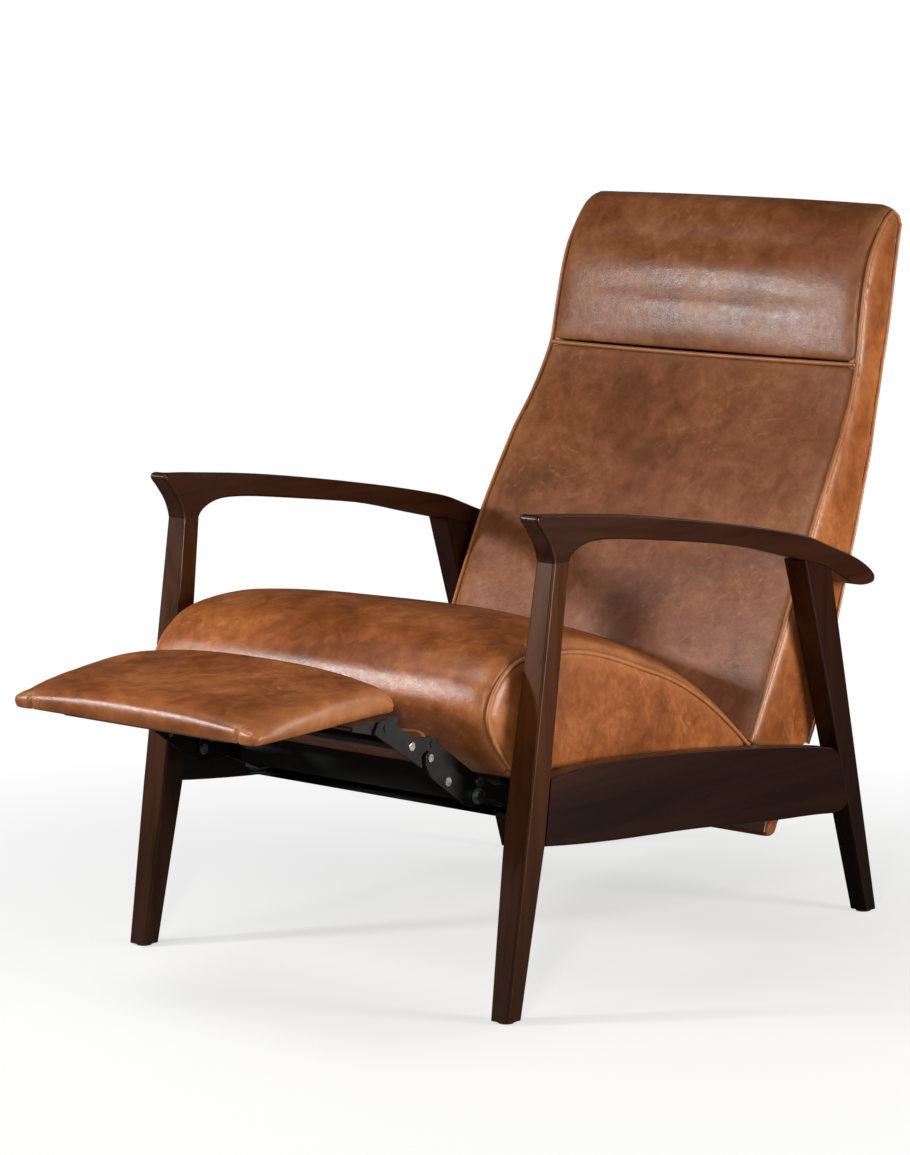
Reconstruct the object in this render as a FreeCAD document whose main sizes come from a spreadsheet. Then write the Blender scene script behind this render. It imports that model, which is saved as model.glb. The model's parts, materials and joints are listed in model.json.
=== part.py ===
"""Push-back recliner armchair with an open wood frame and leather upholstery.

Frame: millimetres, +Z up, X across the chair (+X is the sitter's left), -Y is where the sitter looks.
The origin is on the floor, halfway between the front edge of the raised footrest and the rear of the back.
Each sub-part is one object of the document, labelled with its node name, and is written to parts/NODE.step.
"""
import FreeCAD, Part
import math
import os

from FreeCAD import Placement, Rotation, Vector

os.makedirs("parts", exist_ok=True)
DOC = FreeCAD.newDocument("recliner")

# ---------------------------------------------------------------- driving dimensions
DIMENSIONS = [
    ("frame_half", 360, "half width over the arms and legs"),
    ("arm_inner", 328, "inner face of an arm"),
    ("leg_inner", 318, "inner face of a front leg at the side rail"),
    ("rear_leg_inner", 320, "inner face of a rear leg"),
    ("foot_outer", 357, "outer face of every foot"),
    ("foot_inner", 326, "inner face of every foot"),
    ("rail_inner", 332, "inner face of a side rail"),
    ("arm_joint_z", 620, "height of the joint between front leg and arm"),
    ("pad_thick", 3, "thickness of a felt pad under a foot"),
    ("pad_radius", 11, "radius of a felt pad"),
    ("edge_round", 4, "rounding of the legs' long edges"),
    ("arm_round", 3.5, "rounding of the arms' edges"),
    ("rail_round", 3, "rounding of the side rails' edges"),
    ("dowel_radius", 5, "radius of the arm dowels"),
    ("dowel_length", 44, "length of the arm dowels"),
    ("runner_z", 240, "underside of the seat runners, top of the cross rails"),
    ("cross_tall", 28, "height of the two seat cross rails"),
    ("cross_deep", 26, "depth of the two seat cross rails"),
    ("plate_thick", 3, "thickness of every mechanism plate"),
    ("plate_gap", 2, "gap between neighbouring mechanism plates"),
    ("plate_inner", 252.5, "inner face of the mechanism side plates"),
    ("pivot_radius", 4, "radius of the link pins"),
    ("pivot_clear", 0.08, "radial running clearance of a pin"),
    ("seat_half", 312, "half width of the seat cushion"),
    ("board_inner", 262, "inner face of a seat side board"),
    ("board_thick", 20, "thickness of a seat side board"),
    ("stile_inner", 250.5, "inner face of a back stile"),
    ("stile_outer", 278, "outer face of a back stile"),
    ("panel_thick", 7, "thickness of the outer back panel, along Y"),
    ("frame_thick", 22, "thickness of the back frame, along Y"),
    ("rest_half", 225, "half width of the footrest pad"),
    ("rest_board_half", 221, "half width of the footrest board"),
    ("rest_board_thick", 12, "thickness of the footrest board"),
    ("rest_tilt", 1.5, "upward tilt of the raised footrest towards the seat, degrees"),
    ("rest_front_y", -687, "front lower edge of the raised footrest"),
    ("rest_front_z", 421, "height of that edge"),
    ("box_half", 245, "half width of the boards, straps and cloth inside the seat box"),
    ("slot_inner", 241, "inner face of the cushion slots for the mechanism"),
    ("slot_outer", 262, "outer face of those slots"),
    ("screw_radius", 3, "radius of the plate screws"),
    ("back_bolt_radius", 5, "radius of the back's pivot bolts"),
    ("tube_radius", 8, "radius of the footrest cross tube"),
    ("link_length", 120, "pivot distance of the lower and control links"),
    ("link_angle", 145.5, "direction of the raised links from +Y, degrees"),
    ("link_width", 16, "width of a link"),
]

SHEET = DOC.addObject("Spreadsheet::Sheet", "dims")
for row, (alias, value, note) in enumerate(DIMENSIONS, start=1):
    SHEET.set("A%d" % row, note)
    SHEET.set("B%d" % row, str(value))
    SHEET.setAlias("B%d" % row, alias)
DOC.recompute()


def dim(alias):
    """Value of a driving dimension in millimetres, or degrees for an angle."""
    return float(SHEET.get(alias))


# ---------------------------------------------------------------- places worked out from the dimensions
SIDES = (("left", 1), ("right", -1))

# Pivots of the footrest linkage, as (y, z), with the footrest raised.
PIVOT_BASE = Vector(0, -285, 296)
LINK_DIRECTION = Vector(0, math.cos(math.radians(dim("link_angle"))),
                        math.sin(math.radians(dim("link_angle"))))
ACROSS_LINK = Vector(0, LINK_DIRECTION.z, -LINK_DIRECTION.y)
CONTROL_OFFSET = 20
PIVOT_CONTROL = PIVOT_BASE + ACROSS_LINK * CONTROL_OFFSET
PIVOT_KNEE = PIVOT_BASE + LINK_DIRECTION * dim("link_length")
PIVOT_KNEE_CONTROL = PIVOT_KNEE + ACROSS_LINK * CONTROL_OFFSET
PIVOT_REST = Vector(0, -467, 416.6)
PIVOT_BACK = Vector(0, 312, 300)
TUBE_CENTRE = Vector(0, -415.6, 383.6)

# Faces of the mechanism planes on the left side: side plate and coupler share the middle plane.
PLANE_MIDDLE = dim("plate_inner")
PLANE_PITCH = dim("plate_thick") + dim("plate_gap")
PLANE_OUTER = PLANE_MIDDLE + PLANE_PITCH
PLANE_INNER = PLANE_MIDDLE - PLANE_PITCH

NODES = []


# ---------------------------------------------------------------- helpers
def node(obj, label):
    """Name an object as a finished sub-part."""
    obj.Label = label
    NODES.append(obj)
    return obj


def yz(y, z):
    """Point of a side profile in the YZ plane's own coordinates."""
    return Vector(y, z, 0)


def line(a, b):
    return Part.LineSegment(a, b)


def arc(a, b, c):
    return Part.Arc(a, b, c)


def spline(points):
    """Smooth curve through the points."""
    curve = Part.BSplineCurve()
    curve.interpolate(Points=points)
    return curve


def polygon(points):
    """Closed outline of straight edges."""
    return [line(a, b) for a, b in zip(points, points[1:] + points[:1])]


def rounded_polygon(points, radius):
    """Closed outline whose corners are arcs of one radius; each corner is (y, z)."""
    edges = []
    ends = []
    count = len(points)
    for index, corner in enumerate(points):
        before = (points[index - 1] - corner).normalize()
        after = (points[(index + 1) % count] - corner).normalize()
        half = before.getAngle(after) / 2
        reach = radius / math.tan(half)
        middle = (before + after).normalize()
        centre = corner + middle * (radius / math.sin(half))
        ends.append((corner + before * reach, centre - middle * radius, corner + after * reach))
    for index, (start, mid, stop) in enumerate(ends):
        edges.append(arc(start, mid, stop))
        edges.append(line(stop, ends[(index + 1) % count][0]))
    return edges


def origin_plane(body, role):
    return next(item for item in body.Origin.OriginFeatures if item.Role == role)


def new_body(name):
    return DOC.addObject("PartDesign::Body", name + "_body")


def sketch_on(body, name, role, edges, offset=None):
    """Sketch on one of the body's own origin planes; offset is an expression along the plane's normal."""
    sketch = body.newObject("Sketcher::SketchObject", name)
    sketch.AttachmentSupport = (origin_plane(body, role), "")
    sketch.MapMode = "FlatFace"
    for edge in edges:
        sketch.addGeometry(edge, False)
    if offset:
        sketch.setExpression(".AttachmentOffset.Base.z", offset)
    return sketch


def side_pad(label, edges, inner, outer, side, finished=True):
    """Plate-like piece: a YZ profile padded from |x| = inner to |x| = outer on one side."""
    body = new_body(label)
    offset = inner if side > 0 else "-(%s)" % outer
    sketch = sketch_on(body, label + "_profile", "YZ_Plane", edges, offset)
    pad = body.newObject("PartDesign::Pad", label + "_pad")
    pad.Profile = sketch
    pad.setExpression("Length", "(%s) - (%s)" % (outer, inner))
    body.Tip = pad
    DOC.recompute()
    return node(body, label) if finished else body


def centred_pad(label, edges, length, finished=True):
    """Piece that spans the chair: a YZ profile padded symmetrically about x = 0."""
    body = new_body(label)
    sketch = sketch_on(body, label + "_profile", "YZ_Plane", edges)
    pad = body.newObject("PartDesign::Pad", label + "_pad")
    pad.Profile = sketch
    pad.Midplane = True
    pad.setExpression("Length", length)
    body.Tip = pad
    DOC.recompute()
    return node(body, label) if finished else body


def in_flat_face(edge):
    """True for an edge that lies in one of the two flat faces of a side pad."""
    return edge.BoundBox.XLength < 0.01


def ease_edges(body, radius, chosen):
    """Round the chosen edges of the body's last feature."""
    pad = body.Tip
    names = ["Edge%d" % index for index, edge in enumerate(pad.Shape.Edges, start=1) if chosen(edge)]
    fillet = body.newObject("PartDesign::Fillet", body.Name + "_eased")
    fillet.Base = (pad, names)
    fillet.setExpression("Radius", radius)
    body.Tip = fillet
    DOC.recompute()


def box_object(name, x, y, z, length, width, height):
    """Part::Box whose six values are numbers or expressions."""
    box = DOC.addObject("Part::Box", name)
    for prop, value in (("Length", length), ("Width", width), ("Height", height)):
        set_value(box, prop, value)
    for prop, value in ((".Placement.Base.x", x), (".Placement.Base.y", y), (".Placement.Base.z", z)):
        box.setExpression(prop, str(value))
    return box


def set_value(obj, prop, value):
    if isinstance(value, str):
        obj.setExpression(prop, value)
    else:
        setattr(obj, prop, value)


def rod(name, centre, direction, radius, length):
    """Part::Cylinder that starts at centre and runs along direction."""
    cylinder = DOC.addObject("Part::Cylinder", name)
    set_value(cylinder, "Radius", radius)
    set_value(cylinder, "Height", length)
    cylinder.Placement = Placement(centre, Rotation(Vector(0, 0, 1), direction))
    return cylinder


def group(label, members):
    """Several separate solids that share one node."""
    compound = DOC.addObject("Part::Compound", label + "_group")
    compound.Links = members
    return node(compound, label)


def joined(name, members):
    """One solid from several touching or overlapping ones."""
    fuse = DOC.addObject("Part::MultiFuse", name)
    fuse.Shapes = members
    DOC.recompute()
    return fuse


def bored(label, blank, tools):
    """Blank with holes cut by the tools; the result is the finished sub-part."""
    cut = DOC.addObject("Part::Cut", label + "_cut")
    cut.Base = blank
    if len(tools) == 1:
        cut.Tool = tools[0]
    else:
        cutter = DOC.addObject("Part::Compound", label + "_tools")
        cutter.Links = tools
        cut.Tool = cutter
    DOC.recompute()
    return node(cut, label)


def common(label, first, second, finished=True):
    both = DOC.addObject("Part::Common", label + "_common")
    both.Base = first
    both.Tool = second
    DOC.recompute()
    return node(both, label) if finished else both


def rounded_rectangle(x0, x1, y0, y1, radius):
    """Rounded rectangle in the XY plane's coordinates, counter-clockwise from (x0, y0)."""
    corners = [Vector(x0, y0, 0), Vector(x1, y0, 0), Vector(x1, y1, 0), Vector(x0, y1, 0)]
    return rounded_polygon(corners, radius)


def leg_loft(name, side, sections):
    """Tapered leg: rounded rectangles (z expression, inner x, outer x, front y, rear y), top to bottom."""
    body = new_body(name)
    sketches = []
    for index, (height, inner, outer, front, rear) in enumerate(sections):
        low, high = (inner, outer) if side > 0 else (-outer, -inner)
        edges = rounded_rectangle(low, high, front, rear, dim("edge_round"))
        sketches.append(sketch_on(body, "%s_section_%d" % (name, index), "XY_Plane", edges, height))
    loft = body.newObject("PartDesign::AdditiveLoft", name + "_loft")
    loft.Profile = sketches[0]
    loft.Sections = sketches[1:]
    loft.Ruled = True
    body.Tip = loft
    DOC.recompute()
    return body


# ---------------------------------------------------------------- wood frame
LEG_TOP_FRONT = -243
LEG_TOP_REAR = -209
ARM_HORN = [(-246.8, 634), (-253.8, 648.5), (-265.3, 664), (-273, 673), (-278.4, 679.2)]
ARM_TIP = [(-279.9, 683), (-278.2, 687), (-273.9, 688.7), (-262, 687.6), (-230, 684.5), (-190, 680.6)]
ARM_TOP = [(-126, 674), (61, 648), (191, 626), (316, 601), (359.4, 590), (398, 575.8), (457, 554.2)]
ARM_NOSE = [(492.6, 538), (510.5, 527), (518.6, 520.2), (522.6, 513), (520.4, 507), (512, 504.2),
            (497, 503.8)]
ARM_UNDERSIDE = [(480, 505.8), (464, 510.6), (439, 522.2), (412, 535.3), (384.7, 545.8), (346, 557),
                 (277, 573.4), (201, 592), (83, 613), (-44, 631), (-136, 641)]
ARM_BEND = [(-170, 640), (-193, 633), (-206, 624)]


def arm_profile():
    """Arm with a blunt horn over the front leg and a rounded nose behind the rear leg, in one smooth edge."""
    joint_front = yz(LEG_TOP_FRONT, dim("arm_joint_z"))
    joint_rear = yz(LEG_TOP_REAR, dim("arm_joint_z"))
    places = ARM_HORN + ARM_TIP + ARM_TOP + ARM_NOSE + ARM_UNDERSIDE + ARM_BEND
    rim = spline([joint_front] + [yz(y, z) for y, z in places] + [joint_rear])
    return [rim, line(joint_rear, joint_front)]


def arm_dowel_places(side):
    """Start point and direction of each dowel that holds one arm."""
    x = side * 343
    return [(Vector(x, -226, 598), Vector(0, 0, 1)),
            (Vector(x, 362, 533), Vector(0, 0, 1)),
            (Vector(x, 388, 526), Vector(0, 0, 1))]


def make_dowels(name, side):
    return [rod("%s_dowel_%d" % (name, index), start, direction, "dims.dowel_radius", "dims.dowel_length")
            for index, (start, direction) in enumerate(arm_dowel_places(side))]


def arm_edge(edge):
    """The two long edges round the arm's outline, but not the joint with the leg."""
    return in_flat_face(edge) and edge.BoundBox.ZLength > 1


def make_arm(word, side):
    label = "arm_" + word
    blank = side_pad(label + "_blank", arm_profile(), "dims.arm_inner", "dims.frame_half", side,
                     finished=False)
    ease_edges(blank, "dims.arm_round", arm_edge)
    bored(label, blank, make_dowels(label, side))


def make_front_leg(word, side):
    label = "front_leg_" + word
    outer, foot_outer, foot_inner = dim("frame_half"), dim("foot_outer"), dim("foot_inner")
    sections = [("dims.arm_joint_z", dim("arm_inner"), outer, LEG_TOP_FRONT, LEG_TOP_REAR),
                ("330", dim("leg_inner"), outer, -287, -247),
                ("234", dim("leg_inner"), outer, -301.5, -259.6),
                ("dims.pad_thick", foot_inner, foot_outer, -336.5, -306)]
    blank = leg_loft(label + "_blank", side, sections)
    bored(label, blank, make_dowels(label, side)[:1])


REAR_LEG_TOP = 575
REAR_LEG_TOP_FRONT = 335.3
REAR_LEG_TOP_REAR = 400.8
REAR_LEG_FOOT_FRONT = 518
REAR_LEG_FOOT_REAR = 543.6


def rear_leg_front(z):
    """Y of the rear leg's front face at a height."""
    share = (REAR_LEG_TOP - z) / (REAR_LEG_TOP - dim("pad_thick"))
    return REAR_LEG_TOP_FRONT + share * (REAR_LEG_FOOT_FRONT - REAR_LEG_TOP_FRONT)


def make_rear_leg(word, side):
    """Straight tapered leg, its top cut to the arm's underside."""
    label = "rear_leg_" + word
    sections = [("%d" % REAR_LEG_TOP, dim("rear_leg_inner"), dim("frame_half"), REAR_LEG_TOP_FRONT,
                 REAR_LEG_TOP_REAR),
                ("dims.pad_thick", dim("foot_inner"), dim("foot_outer"), REAR_LEG_FOOT_FRONT,
                 REAR_LEG_FOOT_REAR)]
    blank = leg_loft(label + "_blank", side, sections)
    over = side_pad(label + "_over", arm_profile(), "dims.arm_inner - 30", "dims.frame_half + 20", side,
                    finished=False)
    bored(label, blank, [over] + make_dowels(label, side)[1:])


RAIL_FRONT_TOP = (-247.1, 327)
RAIL_FRONT_BOTTOM = (-259.1, 235)


def rail_edge(edge):
    """The side rail's long edges, but not those of the end that butts against the front leg."""
    return in_flat_face(edge) and edge.BoundBox.YMax > RAIL_FRONT_TOP[0] + 1


def make_side_rail(word, side):
    """Curved rail between the legs, deeper in front, with rounded corners at the rear end."""
    label = "side_rail_" + word
    front_top, front_bottom = yz(*RAIL_FRONT_TOP), yz(*RAIL_FRONT_BOTTOM)
    rear_top, rear_bottom = yz(rear_leg_front(250), 250), yz(rear_leg_front(190), 190)
    top = spline([front_top, yz(-141, 331), yz(-5, 323), yz(136, 309), yz(283, 291), yz(405, 272),
                  yz(425, 266),
                  rear_top])
    bottom = spline([rear_bottom, yz(455, 176), yz(440, 170), yz(410, 171), yz(286, 182), yz(90, 202),
                     yz(-95, 217), front_bottom])
    edges = [top, line(rear_top, rear_bottom), bottom, line(front_bottom, front_top)]
    body = side_pad(label, edges, "dims.rail_inner", "dims.frame_half", side)
    ease_edges(body, "dims.rail_round", rail_edge)


CROSS_RAIL_FRONT_Y = -18
CROSS_RAIL_MIDDLE_Y = 205
REAR_RAIL_HALF = 321.5
REAR_RAIL_Y = 466
REAR_RAIL_Z = 178
REAR_RAIL_DEEP = 24
REAR_RAIL_TALL = 54


def make_cross_rails():
    """Two rails under the seat between the side rails, and a low rail between the rear legs."""
    for label, y in (("cross_rail_front", CROSS_RAIL_FRONT_Y), ("cross_rail_middle", CROSS_RAIL_MIDDLE_Y)):
        rail = box_object(label + "_box", "-dims.rail_inner", y, "dims.runner_z - dims.cross_tall",
                          "2 * dims.rail_inner", "dims.cross_deep", "dims.cross_tall")
        node(rail, label)
    rear = box_object("cross_rail_rear_box", -REAR_RAIL_HALF, REAR_RAIL_Y, REAR_RAIL_Z, 2 * REAR_RAIL_HALF,
                      REAR_RAIL_DEEP, REAR_RAIL_TALL)
    node(rear, "cross_rail_rear")


BLOCK_REACH = 34
BLOCK_TALL = 22


def make_corner_blocks():
    """Glued blocks that brace the two seat cross rails against the side rails."""
    blocks = []
    reach = BLOCK_REACH
    faces = []
    for y in (CROSS_RAIL_FRONT_Y, CROSS_RAIL_MIDDLE_Y):
        faces += [(y, -1), (y + dim("cross_deep"), 1)]
    for word, side in SIDES:
        for index, (y, way) in enumerate(faces):
            x = side * dim("rail_inner")
            corner = [Vector(x, y, 0), Vector(x - side * reach, y, 0), Vector(x, y + way * reach, 0)]
            name = "corner_block_%s_%d" % (word, index)
            body = new_body(name)
            sketch = sketch_on(body, name + "_profile", "XY_Plane", polygon(corner), "dims.runner_z - 26")
            pad = body.newObject("PartDesign::Pad", name + "_pad")
            pad.Profile = sketch
            pad.Length = BLOCK_TALL
            body.Tip = pad
            blocks.append(body)
    DOC.recompute()
    group("corner_blocks", blocks)


FRONT_FOOT_Y = -321
REAR_FOOT_Y = 531


def make_felt_pads():
    pads = []
    x = (dim("foot_inner") + dim("foot_outer")) / 2
    for word, side in SIDES:
        for place, y in (("front", FRONT_FOOT_Y), ("rear", REAR_FOOT_Y)):
            pads.append(rod("felt_%s_%s" % (place, word), Vector(side * x, y, 0), Vector(0, 0, 1),
                            "dims.pad_radius", "dims.pad_thick"))
    group("felt_pads", pads)


RUNNER_WIDE = 33
RUNNER_FRONT_Y = -60
RUNNER_LONG = 330
RUNNER_LIP_TALL = 16


def make_runners():
    """Steel angles on the cross rails that the seat carriage glides on."""
    inner, thick = dim("board_inner"), dim("plate_thick")
    outer = inner + RUNNER_WIDE
    for word, side in SIDES:
        label = "seat_runner_" + word
        flat_x = inner if side > 0 else -outer
        lip_x = outer - thick if side > 0 else -outer
        flat = box_object(label + "_flat", flat_x, RUNNER_FRONT_Y, "dims.runner_z", RUNNER_WIDE, RUNNER_LONG,
                          "dims.plate_thick")
        lip = box_object(label + "_lip", lip_x, RUNNER_FRONT_Y, "dims.runner_z", "dims.plate_thick",
                         RUNNER_LONG,
                         RUNNER_LIP_TALL)
        node(joined(label + "_angle", [flat, lip]), label)


# ---------------------------------------------------------------- seat carriage
SEAT_FRONT_LOW = (-235, 312)
SEAT_REAR_LOW = (248, 275)


def seat_floor(y):
    """Height of the flat underside of the seat cushion at a depth."""
    share = (y - SEAT_FRONT_LOW[0]) / (SEAT_REAR_LOW[0] - SEAT_FRONT_LOW[0])
    return SEAT_FRONT_LOW[1] + share * (SEAT_REAR_LOW[1] - SEAT_FRONT_LOW[1])


def make_seat_cushion():
    """Seat cushion: side profile along the middle, crowned towards the welts by a lofted cap."""
    lip, roll = yz(-277, 334), yz(-338, 417)
    roll_top, crest, heel = yz(-278, 512), yz(-180, 534), yz(297, 402)
    rear, front = yz(*SEAT_REAR_LOW), yz(*SEAT_FRONT_LOW)
    profile = [spline([lip, yz(-322, 372), roll, yz(-322, 470), roll_top, crest]),
               spline([crest, yz(-20, 507), yz(150, 455), heel]),
               line(heel, yz(270, 289)), line(yz(270, 289), rear), line(rear, front), line(front, lip)]
    middle = centred_pad("seat_cushion_middle", profile, "2 * dims.seat_half", finished=False)
    cap = new_body("seat_cushion_cap")
    half = dim("seat_half") + 4
    stations = [(-400, 484, 530), (-157, 486, 536), (93, 411, 480), (320, 285, 402)]
    sketches = []
    for index, (y, welt, crown) in enumerate(stations):
        # The XZ plane's own coordinates are (x, z) and its normal is -Y.
        base_left, base_right = Vector(-half, 200, 0), Vector(half, 200, 0)
        left, right = Vector(-half, welt, 0), Vector(half, welt, 0)
        edges = [line(base_left, base_right), line(base_right, right), arc(right, Vector(0, crown, 0), left),
                 line(left, base_left)]
        sketches.append(sketch_on(cap, "seat_cap_%d" % index, "XZ_Plane", edges, "%d" % -y))
    loft = cap.newObject("PartDesign::AdditiveLoft", "seat_cap_loft")
    loft.Profile = sketches[0]
    loft.Sections = sketches[1:]
    loft.Ruled = True
    cap.Tip = loft
    DOC.recompute()
    common("seat_cushion", middle, cap)


BOARD_LOW = 248
STRAP_COUNT = 5
STRAP_FIRST_Y = -170
STRAP_PITCH = 70
STRAP_WIDE = 50
STRAP_THICK = 2
COVER_FRONT_Y = -196
COVER_DEEP = 385
GLIDE_X = 265
GLIDE_WIDE = 14
GLIDE_Z = 243.3
GLIDE_FRONT_Y = -160
GLIDE_LONG = 375


def make_seat_boards():
    """Seat box under the cushion: two side boards, a front board and a rear board."""
    front_y, rear_y, low = -165, 222, BOARD_LOW
    side_edges = polygon([yz(front_y, low), yz(rear_y, low), yz(rear_y, seat_floor(rear_y)),
                          yz(front_y, seat_floor(front_y))])
    for word, side in SIDES:
        side_pad("seat_board_" + word, side_edges, "dims.board_inner",
                 "dims.board_inner + dims.board_thick", side)
    for label, y, bottom in (("seat_board_front", -215, 267), ("seat_board_rear", 190, 250)):
        far = y + 18
        edges = polygon([yz(y, bottom), yz(far, bottom), yz(far, seat_floor(far)), yz(y, seat_floor(y))])
        centred_pad(label, edges, "2 * dims.box_half")


def make_seat_webbing():
    """Elastic webbing straps across the seat box, just under the cushion."""
    straps = []
    for index in range(STRAP_COUNT):
        y = STRAP_FIRST_Y + index * STRAP_PITCH
        far = y + STRAP_WIDE
        edges = polygon([yz(y, seat_floor(y) - STRAP_THICK), yz(far, seat_floor(far) - STRAP_THICK),
                         yz(far, seat_floor(far)), yz(y, seat_floor(y))])
        straps.append(centred_pad("seat_strap_%d" % index, edges, "2 * dims.box_half", finished=False))
    group("seat_webbing", straps)


def make_seat_cover():
    """Thin black cloth under the seat box."""
    cover = box_object("seat_dust_cover_sheet", "-dims.box_half", COVER_FRONT_Y, BOARD_LOW,
                       "2 * dims.box_half",
                       COVER_DEEP, 1)
    node(cover, "seat_dust_cover")


def make_seat_glides():
    """Nylon strips under the side boards, with a small gap over the runners."""
    strips = []
    for word, side in SIDES:
        x = GLIDE_X if side > 0 else -GLIDE_X - GLIDE_WIDE
        strips.append(box_object("glide_" + word, x, GLIDE_FRONT_Y, GLIDE_Z, GLIDE_WIDE, GLIDE_LONG,
                                 BOARD_LOW - GLIDE_Z))
    group("seat_glides", strips)


def hub(centre, radius, inner, outer, side, name):
    """Round disc or pin about an axis along X, from |x| = inner to |x| = outer."""
    start = Vector(side * inner, centre.y, centre.z)
    return rod(name, start, Vector(side, 0, 0), radius, outer - inner)


def make_side_plates():
    """Steel side plates that carry the link pivots in front and the back pivot behind."""
    b, c, back = PIVOT_BASE, PIVOT_CONTROL, PIVOT_BACK
    outline = [yz(b.y - 10, b.z - 6), yz(b.y - 9, b.z + 8), yz(c.y - 6, c.z + 8), yz(c.y + 8, c.z + 5),
               yz(-240, 302), yz(-180, 299), yz(215, 268), yz(264, 266), yz(290, 300),
               yz(back.y - 8, back.z + 11),
               yz(back.y + 6, back.z + 12), yz(back.y + 14, back.z), yz(back.y + 8, back.z - 12),
               yz(276, 252), yz(250, 250), yz(-168, 250), yz(-236, 279), yz(-262, 289), yz(b.y - 2, b.z - 10)]
    for word, side in SIDES:
        label = "mechanism_plate_" + word
        blank = side_pad(label + "_blank", rounded_polygon(outline, 2.5), "dims.plate_inner",
                         "dims.plate_inner + dims.plate_thick", side, finished=False)
        holes = [hub(b, dim("pivot_radius"), PLANE_MIDDLE - 1, PLANE_MIDDLE + 5, side, label + "_hole_b"),
                 hub(c, dim("pivot_radius"), PLANE_MIDDLE - 1, PLANE_MIDDLE + 5, side, label + "_hole_c"),
                 hub(back, dim("back_bolt_radius"), PLANE_MIDDLE - 1, PLANE_MIDDLE + 5, side,
                     label + "_hole_h")]
        holes += [hub(place, dim("screw_radius"), PLANE_MIDDLE - 1, PLANE_MIDDLE + 5, side,
                      "%s_hole_%d" % (label, index)) for index, place in enumerate(PLATE_SCREWS)]
        bored(label, blank, holes)


PLATE_SCREWS = [Vector(0, -120, 272), Vector(0, 20, 268), Vector(0, 170, 262)]


def make_plate_screws():
    """Bolts with spacer collars that hold the side plates to the seat's side boards."""
    screws = []
    for word, side in SIDES:
        for index, place in enumerate(PLATE_SCREWS):
            name = "plate_screw_%s_%d" % (word, index)
            head = hub(place, 6, PLANE_MIDDLE - 2.5, PLANE_MIDDLE, side, name + "_head")
            shank = hub(place, dim("screw_radius"), PLANE_MIDDLE - 1, PLANE_MIDDLE + 4, side, name + "_shank")
            collar = hub(place, 7, PLANE_MIDDLE + 3, dim("board_inner"), side, name + "_collar")
            screws.append(joined(name, [head, shank, collar]))
    group("plate_screws", screws)


def make_front_pivots():
    """Zinc pivot bolts of the lower links, rivets of the control links, and the back's pivot bolts."""
    radius = dim("pivot_radius")
    thick = dim("plate_thick")
    bolts = []
    rivets = []
    washers = []
    backs = []
    for word, side in SIDES:
        b, c, h = PIVOT_BASE, PIVOT_CONTROL, PIVOT_BACK
        name = "link_bolt_" + word
        shank = hub(b, radius, PLANE_MIDDLE - 1, PLANE_OUTER + thick + 3, side, name + "_shank")
        tail = hub(b, 8, PLANE_MIDDLE - 1.4, PLANE_MIDDLE, side, name + "_tail")
        head = hub(b, 9, PLANE_OUTER + thick + 2.6, PLANE_OUTER + thick + 8, side, name + "_head")
        bolts.append(joined(name, [shank, tail, head]))
        washer = hub(b, 11, PLANE_OUTER + thick + 0.2, PLANE_OUTER + thick + 2.4, side,
                     "washer_blank_" + word)
        bore = hub(b, radius + 0.2, PLANE_OUTER + thick - 1, PLANE_OUTER + thick + 4, side,
                   "washer_bore_" + word)
        ring = DOC.addObject("Part::Cut", "washer_" + word)
        ring.Base, ring.Tool = washer, bore
        washers.append(ring)
        name = "control_rivet_" + word
        shank = hub(c, radius, PLANE_INNER - 1.2, PLANE_MIDDLE + thick + 1, side, name + "_shank")
        outer = hub(c, 7, PLANE_MIDDLE + thick, PLANE_MIDDLE + thick + 1.4, side, name + "_outer")
        inner = hub(c, 7, PLANE_INNER - 2.2, PLANE_INNER - 0.3, side, name + "_inner")
        rivets.append(joined(name, [shank, outer, inner]))
        name = "back_bolt_" + word
        shank = hub(h, dim("back_bolt_radius"), PLANE_INNER - 1.2, PLANE_MIDDLE + thick + 1, side,
                    name + "_shank")
        outer = hub(h, 9, PLANE_MIDDLE + thick, PLANE_MIDDLE + thick + 4, side, name + "_outer")
        inner = hub(h, 9, PLANE_INNER - 4, PLANE_INNER - 0.3, side, name + "_inner")
        backs.append(joined(name, [shank, outer, inner]))
    DOC.recompute()
    group("link_bolts", bolts)
    group("nylon_washers", washers)
    group("control_rivets", rivets)
    group("back_pivot_bolts", backs)


# ---------------------------------------------------------------- footrest linkage
LINK_DEPTH = 21
COUPLER_CORNERS = [(-382, 348), (-366, 360), (-358, 377), (-363, 389), (-378, 392.5), (-411, 393.5),
                   (-461, 427), (-480, 426.5), (-491, 412), (-395, 351.5)]
LINK_STOP = PIVOT_BASE + LINK_DIRECTION * 68 - ACROSS_LINK * 10.5


def strap_outline(start, end, width):
    """Link outline with round ends, from one pivot to the other."""
    along = (end - start).normalize()
    across = Vector(0, along.z, -along.y) * (width / 2)
    tip = along * (width / 2)

    def flat(point):
        return yz(point.y, point.z)

    return [line(flat(start + across), flat(end + across)),
            arc(flat(end + across), flat(end + tip), flat(end - across)),
            line(flat(end - across), flat(start - across)),
            arc(flat(start - across), flat(start - tip), flat(start + across))]


def lower_link_outline():
    """Broad link whose lower edge runs well below the line between its two pivots."""
    length = dim("link_length")
    places = [(-11, -8), (0, -LINK_DEPTH + 4), (18, -LINK_DEPTH), (length - 18, -LINK_DEPTH),
              (length + 2, -12),
              (length + 10, -2), (length + 6, 8), (-4, 11), (-11, 4)]
    corners = [PIVOT_BASE + LINK_DIRECTION * along + ACROSS_LINK * across for along, across in places]
    return rounded_polygon([yz(corner.y, corner.z) for corner in corners], 3)


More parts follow.
